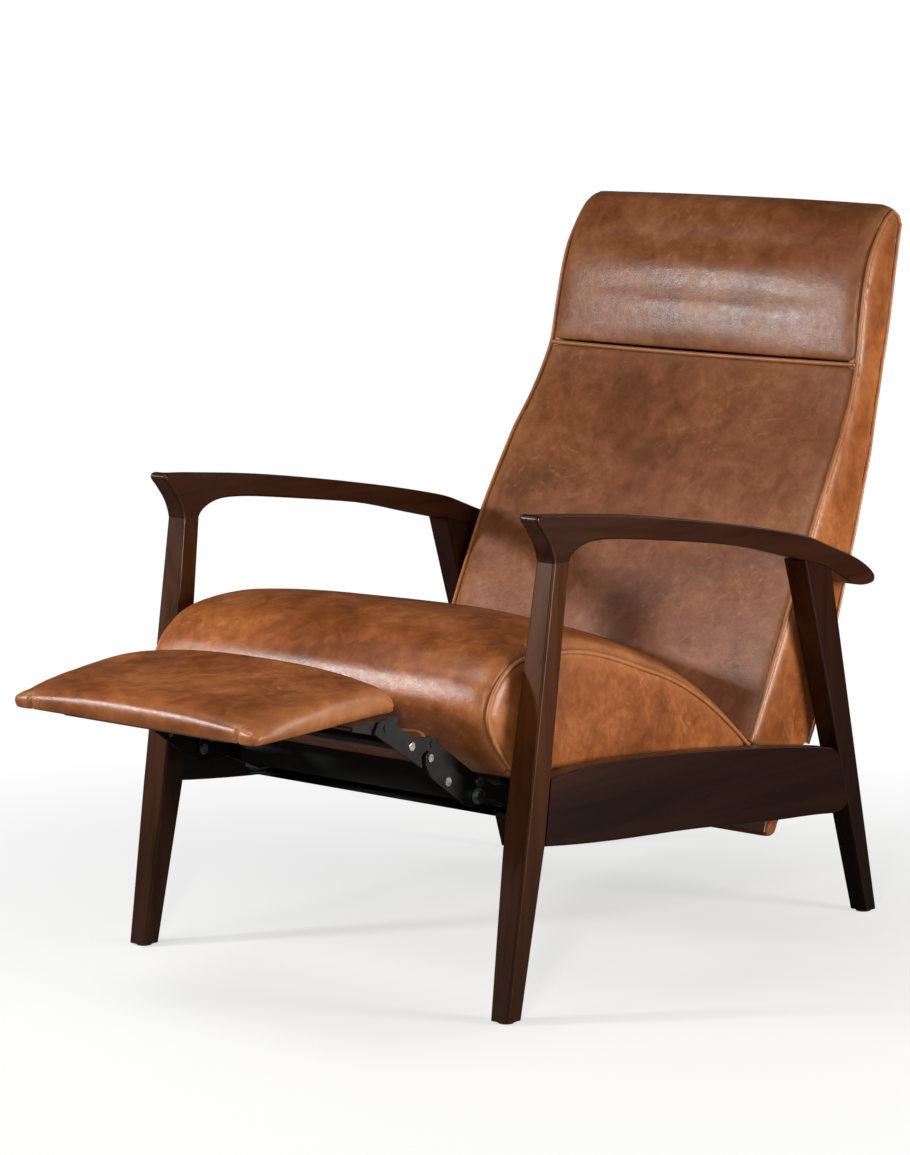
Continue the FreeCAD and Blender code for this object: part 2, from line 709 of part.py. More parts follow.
def make_links():
    """Lower links outside the side plates and control links inside them: a parallel pair on each side."""
    clear = dim("pivot_radius") + dim("pivot_clear")
    knee_pins = []
    for word, side in SIDES:
        label = "lower_link_" + word
        edges = lower_link_outline()
        blank = side_pad(label + "_blank", edges, "dims.plate_inner + dims.plate_thick + dims.plate_gap",
                         "dims.plate_inner + 2 * dims.plate_thick + dims.plate_gap", side, finished=False)
        bored(label, blank, [hub(PIVOT_BASE, clear, PLANE_OUTER - 1, PLANE_OUTER + 5, side,
                                 label + "_hole_b"),
                             hub(LINK_STOP, dim("pivot_radius"), PLANE_OUTER - 1, PLANE_OUTER + 5, side,
                                 label + "_hole_s"),
                             hub(PIVOT_KNEE, dim("pivot_radius"), PLANE_OUTER - 1, PLANE_OUTER + 5, side,
                                 label + "_hole_k")])
        label = "control_link_" + word
        edges = strap_outline(PIVOT_CONTROL, PIVOT_KNEE_CONTROL, dim("link_width"))
        blank = side_pad(label + "_blank", edges, "dims.plate_inner - dims.plate_thick - dims.plate_gap",
                         "dims.plate_inner - dims.plate_gap", side, finished=False)
        bored(label, blank, [hub(PIVOT_CONTROL, clear, PLANE_INNER - 1, PLANE_INNER + 5, side,
                                 label + "_hole_c"),
                             hub(PIVOT_KNEE_CONTROL, clear, PLANE_INNER - 1, PLANE_INNER + 5, side,
                                 label + "_hole_d")])
        name = "knee_rivet_" + word
        shank = hub(PIVOT_KNEE, dim("pivot_radius"), PLANE_MIDDLE - 1, PLANE_OUTER + 4, side, name + "_shank")
        outer = hub(PIVOT_KNEE, 5.5, PLANE_OUTER + 3, PLANE_OUTER + 5, side, name + "_outer")
        inner = hub(PIVOT_KNEE, 7, PLANE_MIDDLE - 1.6, PLANE_MIDDLE - 0.3, side, name + "_inner")
        knee_pins.append(joined(name, [shank, outer, inner]))
        name = "stop_rivet_" + word
        shank = hub(LINK_STOP, dim("pivot_radius"), PLANE_OUTER, PLANE_OUTER + 4, side, name + "_shank")
        head = hub(LINK_STOP, 6.2, PLANE_OUTER + 3, PLANE_OUTER + 4.4, side, name + "_head")
        knee_pins.append(joined(name, [shank, head]))
    group("knee_rivets", knee_pins)


def make_couplers():
    """Wide plates that carry the footrest brackets and keep their direction while the links turn."""
    clear = dim("pivot_radius") + dim("pivot_clear")
    knee, control, rest = PIVOT_KNEE, PIVOT_KNEE_CONTROL, PIVOT_REST
    edges = rounded_polygon([yz(y, z) for y, z in COUPLER_CORNERS], 3)
    pins = []
    screws = []
    for word, side in SIDES:
        label = "coupler_plate_" + word
        blank = side_pad(label + "_blank", edges, "dims.plate_inner", "dims.plate_inner + dims.plate_thick",
                         side,
                         finished=False)
        low, high = PLANE_MIDDLE - 1, PLANE_MIDDLE + 5
        bored(label, blank, [hub(knee, clear, low, high, side, label + "_hole_k"),
                             hub(control, dim("pivot_radius"), low, high, side, label + "_hole_d"),
                             hub(rest, dim("pivot_radius"), low, high, side, label + "_hole_p"),
                             hub(TUBE_CENTRE, 4, low, high, side, label + "_hole_t")])
        for place, name in ((control, "coupler_rivet_d_" + word), (rest, "coupler_rivet_p_" + word)):
            shank = hub(place, dim("pivot_radius"), PLANE_INNER - 1, PLANE_MIDDLE + 4, side, name + "_shank")
            outer = hub(place, 5.5, PLANE_MIDDLE + 3, PLANE_MIDDLE + 4.2, side, name + "_outer")
            inner = hub(place, 7, PLANE_INNER - 1.6, PLANE_INNER - 0.3, side, name + "_inner")
            pins.append(joined(name, [shank, outer, inner]))
        name = "tube_screw_" + word
        shank = hub(TUBE_CENTRE, dim("pivot_radius"), PLANE_MIDDLE - 14, PLANE_MIDDLE + 4, side,
                    name + "_shank")
        head = hub(TUBE_CENTRE, 6.5, PLANE_MIDDLE + 3, PLANE_MIDDLE + 4.8, side, name + "_head")
        ease = DOC.addObject("Part::Fillet", name + "_eased")
        ease.Base = head
        rim = [index for index, edge in enumerate(head.Shape.Edges, start=1)
               if abs(abs(edge.BoundBox.Center.x) - PLANE_MIDDLE - 4.8) < 0.01]
        ease.Edges = [(index, 1.4, 1.4) for index in rim]
        screws.append(joined(name, [shank, ease]))
    group("coupler_rivets", pins)
    group("tube_screws", screws)
    length = 2 * PLANE_MIDDLE
    barrel = rod("tube_barrel", Vector(-PLANE_MIDDLE, TUBE_CENTRE.y, TUBE_CENTRE.z), Vector(1, 0, 0),
                 "dims.tube_radius", length)
    bores = [hub(TUBE_CENTRE, dim("pivot_radius"), PLANE_MIDDLE - 15, PLANE_MIDDLE + 1, side,
                 "tube_bore_" + word)
             for word, side in SIDES]
    bored("footrest_cross_tube", barrel, bores)


# ---------------------------------------------------------------- footrest
REST_DEPTH = 277


def rest_place():
    """Placement of the footrest's own frame: origin at its front lower edge, tilted with it."""
    return Placement(Vector(0, dim("rest_front_y"), dim("rest_front_z")),
                     Rotation(Vector(1, 0, 0), dim("rest_tilt")))


def make_footrest_board():
    inset = dim("rest_half") - dim("rest_board_half")
    board = DOC.addObject("Part::Box", "footrest_board_box")
    board.setExpression("Length", "2 * dims.rest_board_half")
    board.Width = REST_DEPTH - 2 * inset
    board.setExpression("Height", "dims.rest_board_thick")
    board.Placement = rest_place().multiply(Placement(Vector(-dim("rest_board_half"), inset, 0), Rotation()))
    node(board, "footrest_board")


def make_footrest_pad():
    """Crowned pad on the board, a little thicker towards the seat."""
    low = dim("rest_board_thick")
    front, rear = 0, REST_DEPTH
    edges = [line(yz(front + 2, low), yz(front, low + 6)),
             spline([yz(front, low + 6), yz(7, 24), yz(40, 36), yz(130, 46), yz(225, 44), yz(267, 30),
                     yz(rear, low + 6)]),
             line(yz(rear, low + 6), yz(rear - 2, low)), line(yz(rear - 2, low), yz(front + 2, low))]
    body = centred_pad("footrest_pad", edges, "2 * dims.rest_half")
    body.Placement = rest_place()
    DOC.recompute()


def make_footrest_cover():
    """Shallow underside plate behind the front edge."""
    edges = rounded_polygon([yz(14, -1.2), yz(24, -9), yz(120, -9), yz(135, -1.2), yz(135, 0), yz(14, 0)],
                            0.5)
    body = centred_pad("footrest_cover", edges, "300")
    body.Placement = rest_place()
    DOC.recompute()


def make_footrest_brackets():
    """Steel brackets: a web beside the pad that turns on the coupler, and a flange under the board."""
    local = rest_place().inverse().multVec(PIVOT_REST)
    thick = dim("plate_thick")
    screws = []
    for word, side in SIDES:
        label = "footrest_bracket_" + word
        web = [yz(local.y - 62, 0), yz(local.y - 62, -6), yz(local.y - 10, local.z - 9),
               yz(local.y + 9, local.z - 9),
               yz(local.y + 30, -6), yz(local.y + 30, 0)]
        plate = side_pad(label + "_web", rounded_polygon(web, 1.5), "dims.plate_inner - dims.plate_thick - "
                         "dims.plate_gap", "dims.plate_inner - dims.plate_gap", side, finished=False)
        flange = box_object(label + "_flange", "%g" % (PLANE_INNER - 72 if side > 0 else -PLANE_INNER - 1),
                            "%g" % (local.y - 60), "%g" % -thick, 73, 88, thick)
        both = joined(label + "_both", [plate, flange])
        hole = hub(Vector(0, local.y, local.z), dim("pivot_radius") + dim("pivot_clear"), PLANE_INNER - 1,
                   PLANE_INNER + 5, side, label + "_hole_p")
        tools = [hole]
        for index in range(3):
            x = side * (PLANE_INNER - 50)
            y = local.y - 46 + 30 * index
            name = "%s_screw_%d" % (label, index)
            tools.append(rod(name + "_hole", Vector(x, y, -thick - 1), Vector(0, 0, 1), 2.5, thick + 2))
            shank = rod(name + "_shank", Vector(x, y, -thick - 0.5), Vector(0, 0, 1), 2.5, thick + 0.5)
            head = rod(name + "_head", Vector(x, y, -thick - 2), Vector(0, 0, 1), 5, 2)
            screws.append(joined(name, [shank, head]))
        bracket = bored(label, both, tools)
        bracket.Placement = rest_place()
    group("bracket_screws", screws)
    NODES[-1].Placement = rest_place()
    DOC.recompute()


# ---------------------------------------------------------------- back
BACK_REAR = [(385, 130), (430, 266), (533, 562), (593, 721), (639, 842), (669, 965), (684, 1026)]
BACK_FRONT = [(322, 379), (369, 477), (421, 578), (487, 688), (529, 750), (561, 818)]
CUSHION_FOOT = 262
CUSHION_FOOT_FRONT = (282, 290)
SEAM_HEIGHT = 812
SEAM_GAP = 1
WIDER_THAN_BACK = "660"
FRAME_TOP = 1012
GLUE_GAP = 0.5
REAR_CURVE = spline([yz(y, z) for y, z in BACK_REAR])


def rear_y(z):
    """Y of the back's rear face at a height."""
    return REAR_CURVE.intersect(line(yz(0, z), yz(1200, z)))[0].X


def rear_stretch(low, high, shift):
    """Part of the rear curve between two heights, moved forward by shift, as a spline from high to low."""
    count = max(2, int((high - low) / 90) + 1)
    heights = [high + (low - high) * index / count for index in range(count + 1)]
    return spline([yz(rear_y(height) - shift, height) for height in heights])


def layer(low, high, near, far):
    """Closed outline of a layer of the back between two heights and two distances from the rear face."""
    rear = rear_stretch(low, high, near)
    front = rear_stretch(low, high, far)
    front.reverse()
    rear_high, rear_low = yz(rear_y(high) - near, high), yz(rear_y(low) - near, low)
    front_high, front_low = yz(rear_y(high) - far, high), yz(rear_y(low) - far, low)
    return [rear, line(rear_low, front_low), front, line(front_high, rear_high)]


def back_width(name):
    """Front outline of the back, padded through its depth: narrower at the top than at the seat."""
    body = new_body(name)
    widths = [(288, 1070), (289, 1000), (294, 822), (309, 690), (314, 570), (314, 440), (312, 290),
              (300, 200),
              (290, 120)]
    right = spline([Vector(x, z, 0) for x, z in widths])
    left = spline([Vector(-x, z, 0) for x, z in reversed(widths)])
    top, bottom = widths[0], widths[-1]
    edges = [right, line(Vector(bottom[0], bottom[1], 0), Vector(-bottom[0], bottom[1], 0)), left,
             line(Vector(-top[0], top[1], 0), Vector(top[0], top[1], 0))]
    sketch = sketch_on(body, name + "_outline", "XZ_Plane", edges, "-900")
    pad = body.newObject("PartDesign::Pad", name + "_pad")
    pad.Profile = sketch
    pad.Length = 900
    body.Tip = pad
    DOC.recompute()
    return body


SLOT_Y = 230
SLOT_Z = 240
SLOT_DEEP = 190
SLOT_TALL = 106


def mechanism_slots(name):
    """Two pockets in the lower cushion for the side plates, brackets and pivot bolts."""
    slots = []
    for word, side in SIDES:
        x = "dims.slot_inner" if side > 0 else "-dims.slot_outer"
        slots.append(box_object("%s_slot_%s" % (name, word), x, SLOT_Y, SLOT_Z,
                                "dims.slot_outer - dims.slot_inner",
                                SLOT_DEEP, SLOT_TALL))
    return slots


def make_back_cushions():
    total = dim("panel_thick") + dim("frame_thick") + GLUE_GAP
    seam_front, seam_rear = yz(*BACK_FRONT[-1]), yz(rear_y(SEAM_HEIGHT) - total, SEAM_HEIGHT)
    foot_front = yz(*CUSHION_FOOT_FRONT)
    foot_rear = yz(rear_y(CUSHION_FOOT) - total, CUSHION_FOOT)
    front = spline([foot_front] + [yz(y, z) for y, z in BACK_FRONT])
    lower = [front, line(seam_front, seam_rear), rear_stretch(CUSHION_FOOT, SEAM_HEIGHT, total),
             line(foot_rear, foot_front)]
    whole = centred_pad("back_cushion_whole", lower, WIDER_THAN_BACK, finished=False)
    shaped = common("back_cushion_shaped", whole, back_width("back_cushion_width"), finished=False)
    bored("back_cushion", shaped, mechanism_slots("back_cushion"))
    head_front, head_rear = seam_front + yz(0, SEAM_GAP), seam_rear + yz(0, SEAM_GAP)
    shoulder_in = yz(rear_y(FRAME_TOP) - total, FRAME_TOP)
    shoulder_out = yz(rear_y(FRAME_TOP), FRAME_TOP)
    top_rear = yz(672, 1052)
    nape = rear_stretch(head_rear.y, FRAME_TOP, total)
    nape.reverse()
    head = [spline([head_front, yz(566, 888), yz(583, 954), yz(607, 1010), yz(634, 1046), yz(655, 1061),
                    top_rear]),
            spline([top_rear, yz(683, 1041), yz(687.3, 1027), shoulder_out]), line(shoulder_out, shoulder_in),
            line(shoulder_in, head_rear), line(head_rear, head_front)]
    whole = centred_pad("headrest_whole", head, WIDER_THAN_BACK, finished=False)
    common("headrest_cushion", whole, back_width("headrest_width"))


def make_back_panel():
    """Leather-covered outer back board, from the wrapped lower edge to the top rail."""
    whole = centred_pad("back_panel_whole", layer(130, FRAME_TOP, 0, dim("panel_thick")), WIDER_THAN_BACK,
                        finished=False)
    common("back_panel", whole, back_width("back_panel_width"))


def make_back_frame():
    """Two stiles and three rails in the layer between the panel and the cushions."""
    near, far = dim("panel_thick") + GLUE_GAP, dim("panel_thick") + dim("frame_thick")
    for word, side in SIDES:
        side_pad("back_stile_" + word, layer(140, FRAME_TOP, near, far), "dims.stile_inner",
                 "dims.stile_outer",
                 side)
    for label, low, high in (("back_rail_lower", 142, 182), ("back_rail_middle", 770, 812),
                             ("back_rail_upper", 968, FRAME_TOP)):
        centred_pad(label, layer(low, high, near, far), "2 * dims.stile_inner")
    straps = []
    for index in range(5):
        low = 330 + 86 * index
        straps.append(centred_pad("back_strap_%d" % index, layer(low, low + 50, far - 2.5, far - GLUE_GAP),
                                  "2 * dims.stile_inner", finished=False))
    group("back_webbing", straps)


def make_back_brackets():
    """Steel brackets from the back pivot to the inner faces of the stiles."""
    h = PIVOT_BACK
    near, far = dim("panel_thick"), dim("panel_thick") + dim("frame_thick")
    for word, side in SIDES:
        label = "back_bracket_" + word
        outline = [yz(h.y - 12, h.z - 4), yz(h.y - 8, h.z + 12), yz(h.y + 8, h.z + 16),
                   yz(rear_y(336) - far - 6, 336), yz(rear_y(250) - near - 3, 250),
                   yz(rear_y(214) - near - 3, 214),
                   yz(rear_y(214) - far - 2, 214), yz(rear_y(250) - far - 14, 262), yz(h.y, h.z - 13)]
        blank = side_pad(label + "_blank", rounded_polygon(outline, 2),
                         "dims.plate_inner - dims.plate_thick - "
                         "dims.plate_gap", "dims.plate_inner - dims.plate_gap", side, finished=False)
        bored(label, blank, [hub(h, dim("back_bolt_radius") + dim("pivot_clear"), PLANE_INNER - 1,
                                 PLANE_INNER + 5, side, label + "_hole")])


# ---------------------------------------------------------------- build, check, write
def build():
    for word, side in SIDES:
        make_arm(word, side)
        make_front_leg(word, side)
        make_rear_leg(word, side)
        make_side_rail(word, side)
    group("arm_dowels", make_dowels("fitted_left", 1) + make_dowels("fitted_right", -1))
    make_cross_rails()
    make_corner_blocks()
    make_felt_pads()
    make_runners()
    make_seat_cushion()
    make_seat_boards()
    make_seat_webbing()
    make_seat_cover()
    make_seat_glides()
    make_side_plates()
    make_plate_screws()
    make_front_pivots()
    make_links()
    make_couplers()
    make_footrest_board()
    make_footrest_pad()
    make_footrest_cover()
    make_footrest_brackets()
    make_back_cushions()
    make_back_panel()
    make_back_frame()
    make_back_brackets()
    DOC.recompute()


def check_and_export():
    problems = ["%s: %s" % (obj.Label, obj.State) for obj in DOC.Objects
                if "Invalid" in obj.State or "Error" in obj.State]
    labels = [obj.Label for obj in NODES]
    problems += ["two nodes are called " + label for label in set(labels) if labels.count(label) > 1]
    for obj in NODES:
        shape = obj.Shape
        if shape.isNull() or not shape.isValid() or not shape.Solids:
            problems.append(obj.Label + " has no valid solid")
    if problems:
        raise RuntimeError("; ".join(problems))
    for obj in NODES:
        obj.Shape.exportStep("parts/%s.step" % obj.Label)
        print("%-26s solids %d volume %10.0f" % (obj.Label, len(obj.Shape.Solids), obj.Shape.Volume))
    print(len(NODES), "nodes")


build()
check_and_export()
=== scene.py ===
"""Looks of the push-back recliner armchair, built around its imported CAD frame.

Metres, +Z up, X across the chair (+X is the sitter's left), -Y is where the sitter looks, floor at z = 0.
Outlines are written in millimetres as (y, z) side profiles and turned into metres by MM.
"""

import json
import math

import bmesh
import bpy
import numpy as np
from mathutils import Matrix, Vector, kdtree


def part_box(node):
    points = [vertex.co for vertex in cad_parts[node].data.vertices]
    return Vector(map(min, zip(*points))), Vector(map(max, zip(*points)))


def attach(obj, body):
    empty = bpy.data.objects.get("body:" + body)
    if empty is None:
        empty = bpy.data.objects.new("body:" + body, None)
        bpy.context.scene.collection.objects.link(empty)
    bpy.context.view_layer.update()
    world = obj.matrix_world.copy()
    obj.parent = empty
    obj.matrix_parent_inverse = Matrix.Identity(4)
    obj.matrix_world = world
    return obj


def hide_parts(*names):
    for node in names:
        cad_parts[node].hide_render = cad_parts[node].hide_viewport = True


MM = 0.001
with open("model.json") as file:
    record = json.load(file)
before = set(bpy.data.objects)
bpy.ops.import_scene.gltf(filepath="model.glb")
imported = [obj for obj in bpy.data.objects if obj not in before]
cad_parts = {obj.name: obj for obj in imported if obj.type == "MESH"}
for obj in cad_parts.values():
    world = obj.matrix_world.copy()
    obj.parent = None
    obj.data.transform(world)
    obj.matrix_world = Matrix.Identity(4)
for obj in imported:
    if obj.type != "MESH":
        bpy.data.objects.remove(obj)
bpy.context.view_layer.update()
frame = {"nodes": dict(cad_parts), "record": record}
NODES = frame["nodes"]
RECORD = frame["record"]

# ---------------------------------------------------------------- camera, lights and world
CAMERA_PLACE = (3.731, -4.462, 1.435)
CAMERA_TILT = 8.77
CAMERA_TURN = 40.04
CAMERA_LENS = 126.8
SENSOR_WIDTH = 36
FAR_CLIP = 500
WHITE = (1, 1, 1)
WARM = (1, 0.95, 0.88)
SLIGHTLY_WARM = (1, 0.96, 0.9)
AMBIENT_COLOUR = (0.93, 0.96, 1.0, 1)
AMBIENT_STRENGTH = 0.05


def make_camera():
    """Camera at the photograph's place, in front of the chair and to the sitter's left."""
    camera = bpy.data.objects.new("camera", bpy.data.cameras.new("camera"))
    bpy.context.scene.collection.objects.link(camera)
    camera.location = CAMERA_PLACE
    camera.rotation_euler = (math.radians(90 - CAMERA_TILT), 0, math.radians(CAMERA_TURN))
    camera.data.lens = CAMERA_LENS
    camera.data.sensor_width = SENSOR_WIDTH
    camera.data.clip_end = FAR_CLIP
    bpy.context.scene.camera = camera


def area_light(name, place, target, width, height, power, colour=WHITE, spread=180):
    """Rectangular lamp at a place, turned to its target; the power in watts, the spread in degrees."""
    light = bpy.data.objects.new(name, bpy.data.lights.new(name, "AREA"))
    light.data.shape = "RECTANGLE"
    light.data.size = width
    light.data.size_y = height
    light.data.energy = power
    light.data.color = colour
    light.data.spread = math.radians(spread)
    light.location = place
    light.rotation_euler = (Vector(target) - Vector(place)).to_track_quat("-Z", "Y").to_euler()
    bpy.context.scene.collection.objects.link(light)


def make_lights():
    """Two strobes that cast the arms' shadows on the back, and softboxes for the footrest, side and rear."""
    middle = (0, 0, 0.6)
    area_light("key_strobe", (-2.25, -2.95, 1.75), middle, 0.42, 0.42, 104)
    area_light("right_strobe", (2.05, -3.05, 1.62), middle, 0.34, 0.34, 52, SLIGHTLY_WARM)
    area_light("footrest_softbox", (-0.4, -1.1, 2.1), (-0.1, -0.65, 0.45), 0.9, 0.6, 3.2, WHITE, 80)
    area_light("side_softbox", (3.2, 0.9, 0.8), (0.3, 0.1, 0.4), 0.9, 1.1, 100, WARM)
    area_light("rear_softbox", (0.8, 3.4, 2.2), (0, 0.3, 0.6), 2.0, 1.6, 10)


def make_world():
    """White behind the chair, and a dimmer even light on it."""
    world = bpy.data.worlds.new("studio")
    bpy.context.scene.world = world
    world.use_nodes = True
    tree = world.node_tree
    tree.nodes.clear()
    out = tree.nodes.new("ShaderNodeOutputWorld")
    mix = tree.nodes.new("ShaderNodeMixShader")
    ray = tree.nodes.new("ShaderNodeLightPath")
    ambient = tree.nodes.new("ShaderNodeBackground")
    seen = tree.nodes.new("ShaderNodeBackground")
    ambient.inputs["Color"].default_value = AMBIENT_COLOUR
    ambient.inputs["Strength"].default_value = AMBIENT_STRENGTH
    seen.inputs["Color"].default_value = (*WHITE, 1)
    seen.inputs["Strength"].default_value = 1.0
    tree.links.new(ray.outputs["Is Camera Ray"], mix.inputs["Fac"])
    tree.links.new(ambient.outputs["Background"], mix.inputs[1])
    tree.links.new(seen.outputs["Background"], mix.inputs[2])
    tree.links.new(mix.outputs["Shader"], out.inputs["Surface"])


# ---------------------------------------------------------------- node helpers
class Shader:
    """A material's node tree with short ways to add nodes."""

    def __init__(self, name):
        self.material = bpy.data.materials.new(name)
        self.material.use_nodes = True
        self.tree = self.material.node_tree
        self.surface = self.tree.nodes["Principled BSDF"]
        self.place = self.tree.nodes.new("ShaderNodeTexCoord").outputs["Object"]

    def node(self, kind, **values):
        """New node of a kind, with its properties set."""
        made = self.tree.nodes.new(kind)
        for key, value in values.items():
            setattr(made, key, value)
        return made

    def link(self, source, target):
        self.tree.links.new(source, target)

    def scaled(self, scale):
        """Coordinates stretched by a factor along each axis."""
        mapping = self.node("ShaderNodeMapping")
        mapping.inputs["Scale"].default_value = scale
        self.link(self.place, mapping.inputs["Vector"])
        return mapping.outputs["Vector"]

    def height(self):
        """Height above the floor, in metres."""
        split = self.node("ShaderNodeSeparateXYZ")
        self.link(self.place, split.inputs["Vector"])
        return split.outputs["Z"]

    def turned(self, angles, scale, place):
        """Coordinates turned by the angles and then stretched, for marks that run in one direction."""
        mapping = self.node("ShaderNodeMapping", vector_type="TEXTURE")
        mapping.inputs["Rotation"].default_value = angles
        mapping.inputs["Scale"].default_value = [1 / value for value in scale]
        self.link(place, mapping.inputs["Vector"])
        return mapping.outputs["Vector"]

    def warped(self, scale, amount):
        """Coordinates bent by a soft noise."""
        bend = self.node("ShaderNodeTexNoise")
        bend.inputs["Scale"].default_value = scale
        self.link(self.place, bend.inputs["Vector"])
        shift = self.node("ShaderNodeVectorMath", operation="SCALE")
        shift.inputs["Scale"].default_value = amount
        self.link(bend.outputs["Color"], shift.inputs[0])
        total = self.node("ShaderNodeVectorMath", operation="ADD")
        self.link(self.place, total.inputs[0])
        self.link(shift.outputs["Vector"], total.inputs[1])
        return total.outputs["Vector"]

    def noise(self, scale, detail=3, roughness=0.55, distortion=0, vector=None):
        made = self.node("ShaderNodeTexNoise")
        made.inputs["Scale"].default_value = scale
        made.inputs["Detail"].default_value = detail
        made.inputs["Roughness"].default_value = roughness
        made.inputs["Distortion"].default_value = distortion
        self.link(vector or self.place, made.inputs["Vector"])
        return made.outputs["Fac"]

    def cells(self, scale):
        """Distance from the middle of small round cells."""
        made = self.node("ShaderNodeTexVoronoi", feature="F1")
        made.inputs["Scale"].default_value = scale
        self.link(self.place, made.inputs["Vector"])
        return made.outputs["Distance"]

    def ramp(self, factor, *stops):
        """Colour ramp through (position, colour) stops."""
        made = self.node("ShaderNodeValToRGB")
        elements = made.color_ramp.elements
        while len(elements) < len(stops):
            elements.new(0.5)
        for element, (position, colour) in zip(elements, stops):
            element.position = position
            element.color = (*colour, 1)
        self.link(factor, made.inputs["Fac"])
        return made.outputs["Color"]

    def span(self, value, low, high, to_low=0.0, to_high=1.0):
        """Value mapped from one range to another, and held at its ends."""
        made = self.node("ShaderNodeMapRange", clamp=True)
        for key, number in (("From Min", low), ("From Max", high), ("To Min", to_low), ("To Max", to_high)):
            made.inputs[key].default_value = number
        self.link(value, made.inputs["Value"])
        return made.outputs["Result"]

    def math(self, operation, first, second):
        made = self.node("ShaderNodeMath", operation=operation)
        for socket, value in zip(made.inputs, (first, second)):
            if isinstance(value, (int, float)):
                socket.default_value = value
            else:
                self.link(value, socket)
        return made.outputs["Value"]

    def mix(self, factor, first, second):
        """Mix of two colours, each a tuple or a socket."""
        made = self.node("ShaderNodeMix", data_type="RGBA", blend_type="MIX")
        sockets = (made.inputs["Factor"], made.inputs[6], made.inputs[7])
        for socket, value in zip(sockets, (factor, first, second)):
            if isinstance(value, (int, float)):
                socket.default_value = value
            elif isinstance(value, tuple):
                socket.default_value = (*value, 1)
            else:
                self.link(value, socket)
        return made.outputs[2]

    def attribute(self, name):
        return self.node("ShaderNodeAttribute", attribute_name=name).outputs["Fac"]

    def bump(self, height, strength, distance, below=None):
        made = self.node("ShaderNodeBump")
        made.inputs["Strength"].default_value = strength
        made.inputs["Distance"].default_value = distance
        self.link(height, made.inputs["Height"])
        if below is not None:
            self.link(below, made.inputs["Normal"])
        return made.outputs["Normal"]

    def finish(self, colour, roughness, normal=None, **fixed):
        """Join the surface's main inputs, set the others to plain numbers, and give the material."""
        for name, value in (("Base Color", colour), ("Roughness", roughness), ("Normal", normal)):
            if value is None:
                continue
            if isinstance(value, (int, float)):
                self.surface.inputs[name].default_value = value
            elif isinstance(value, tuple):
                self.surface.inputs[name].default_value = (*value, 1)
            else:
                self.link(value, self.surface.inputs[name])
        for name, value in fixed.items():
            self.surface.inputs[name.replace("_", " ")].default_value = value
        return self.material


# ---------------------------------------------------------------- materials
# Families of pale stretch marks: the turn of their direction, their fineness on each axis, and the
# strength of noise from which they show.
SCRATCHES = (
    ((0.3, 0.5, 0.4), (7, 110, 80), 0.62),
    ((1.1, -0.7, 0.2), (9, 80, 120), 0.63),
    ((-0.6, 0.9, 1.3), (5, 60, 90), 0.62),
)
# Heights between which painted shade on the wood goes from its strongest, near the feet, to none.
FOOT_SHADE_LOW = 0.12
FOOT_SHADE_HIGH = 0.52


def leather_material(name, dark, middle, light, edge):
    """Pull-up leather: cloudy colour, pale stretch marks and fine scratches, paler worn edges beside the
    seams and painted shade in them, pebbled grain.
    """
    s = Shader(name)
    clouds = s.noise(5.5, 5, 0.6, 0.6)
    blotches = s.noise(26, 5, 0.62, 0.8)
    base = s.ramp(s.math("ADD", s.math("MULTIPLY", clouds, 0.6), s.math("MULTIPLY", blotches, 0.4)),
                  (0.38, dark), (0.515, middle), (0.65, light))
    fine = s.noise(95, 4, 0.65)
    base = s.mix(s.span(fine, 0.42, 0.62, 0, 0.35), base, dark)
    bent = s.warped(7, 0.10)
    marks = None
    for angles, scale, low in SCRATCHES:
        stroke = s.span(s.noise(1.0, 2, 0.5, 0.3, s.turned(angles, scale, bent)), low, low + 0.10)
        marks = stroke if marks is None else s.math("MAXIMUM", marks, stroke)
    patches = s.span(s.noise(6, 3), 0.44, 0.62, 0.15, 1)
    colour = s.mix(s.math("MULTIPLY", marks, s.math("MULTIPLY", patches, 0.26)), base, edge)
    worn = s.attribute("worn")
    colour = s.mix(s.math("MULTIPLY", worn, 0.42), colour, edge)
    # Painted shade: a dark line along the seams, where the groove would be in shade.
    painted_seam_shade = s.math("MULTIPLY", s.attribute("seam_shade"), 0.72)
    colour = s.mix(painted_seam_shade, colour, tuple(c * 0.22 for c in dark))
    pores = s.cells(780)
    grain = s.math("ADD", s.math("MULTIPLY", pores, 0.7), s.math("MULTIPLY", s.noise(420, 3), 0.6))
    normal = s.bump(grain, 0.24, 0.0006)
    normal = s.bump(s.noise(60, 4, 0.6), 0.10, 0.004, normal)
    roughness = s.span(s.math("ADD", s.math("MULTIPLY", s.noise(90, 4, 0.65), 0.5),
                              s.math("MULTIPLY", blotches, 0.5)), 0.35, 0.65, 0.28, 0.40)
    return s.finish(colour, roughness, normal, Specular_IOR_Level=0.42)


def wood_material(name, along, dark, light):
    """Espresso-stained hardwood: long dark pores along one axis, painted shade that darkens it towards the
    feet, satin lacquer.
    """
    s = Shader(name)
    stretch = [14.0, 14.0, 14.0]
    stretch[along] = 0.9
    figure = s.noise(1.2, 4, 0.55, 0.9, s.scaled(tuple(stretch)))
    fine = [130.0, 130.0, 130.0]
    fine[along] = 3.0
    pores = s.noise(1.0, 3, 0.6, 0.2, s.scaled(tuple(fine)))
    colour = s.ramp(figure, (0.30, dark), (0.72, light))
    darkest = tuple(c * 0.35 for c in dark)
    # Painted shade: the colour darkens towards the feet, as if the light fell off there.
    colour = s.mix(s.span(s.height(), FOOT_SHADE_LOW, FOOT_SHADE_HIGH, 0.72, 0), colour, darkest)
    colour = s.mix(s.span(pores, 0.56, 0.70, 0, 0.55), colour, darkest)
    normal = s.bump(pores, 0.10, 0.0005)
    roughness = s.span(figure, 0.3, 0.7, 0.24, 0.33)
    return s.finish(colour, roughness, normal, Coat_Weight=0.05, Coat_Roughness=0.2,
                    Specular_IOR_Level=0.25)


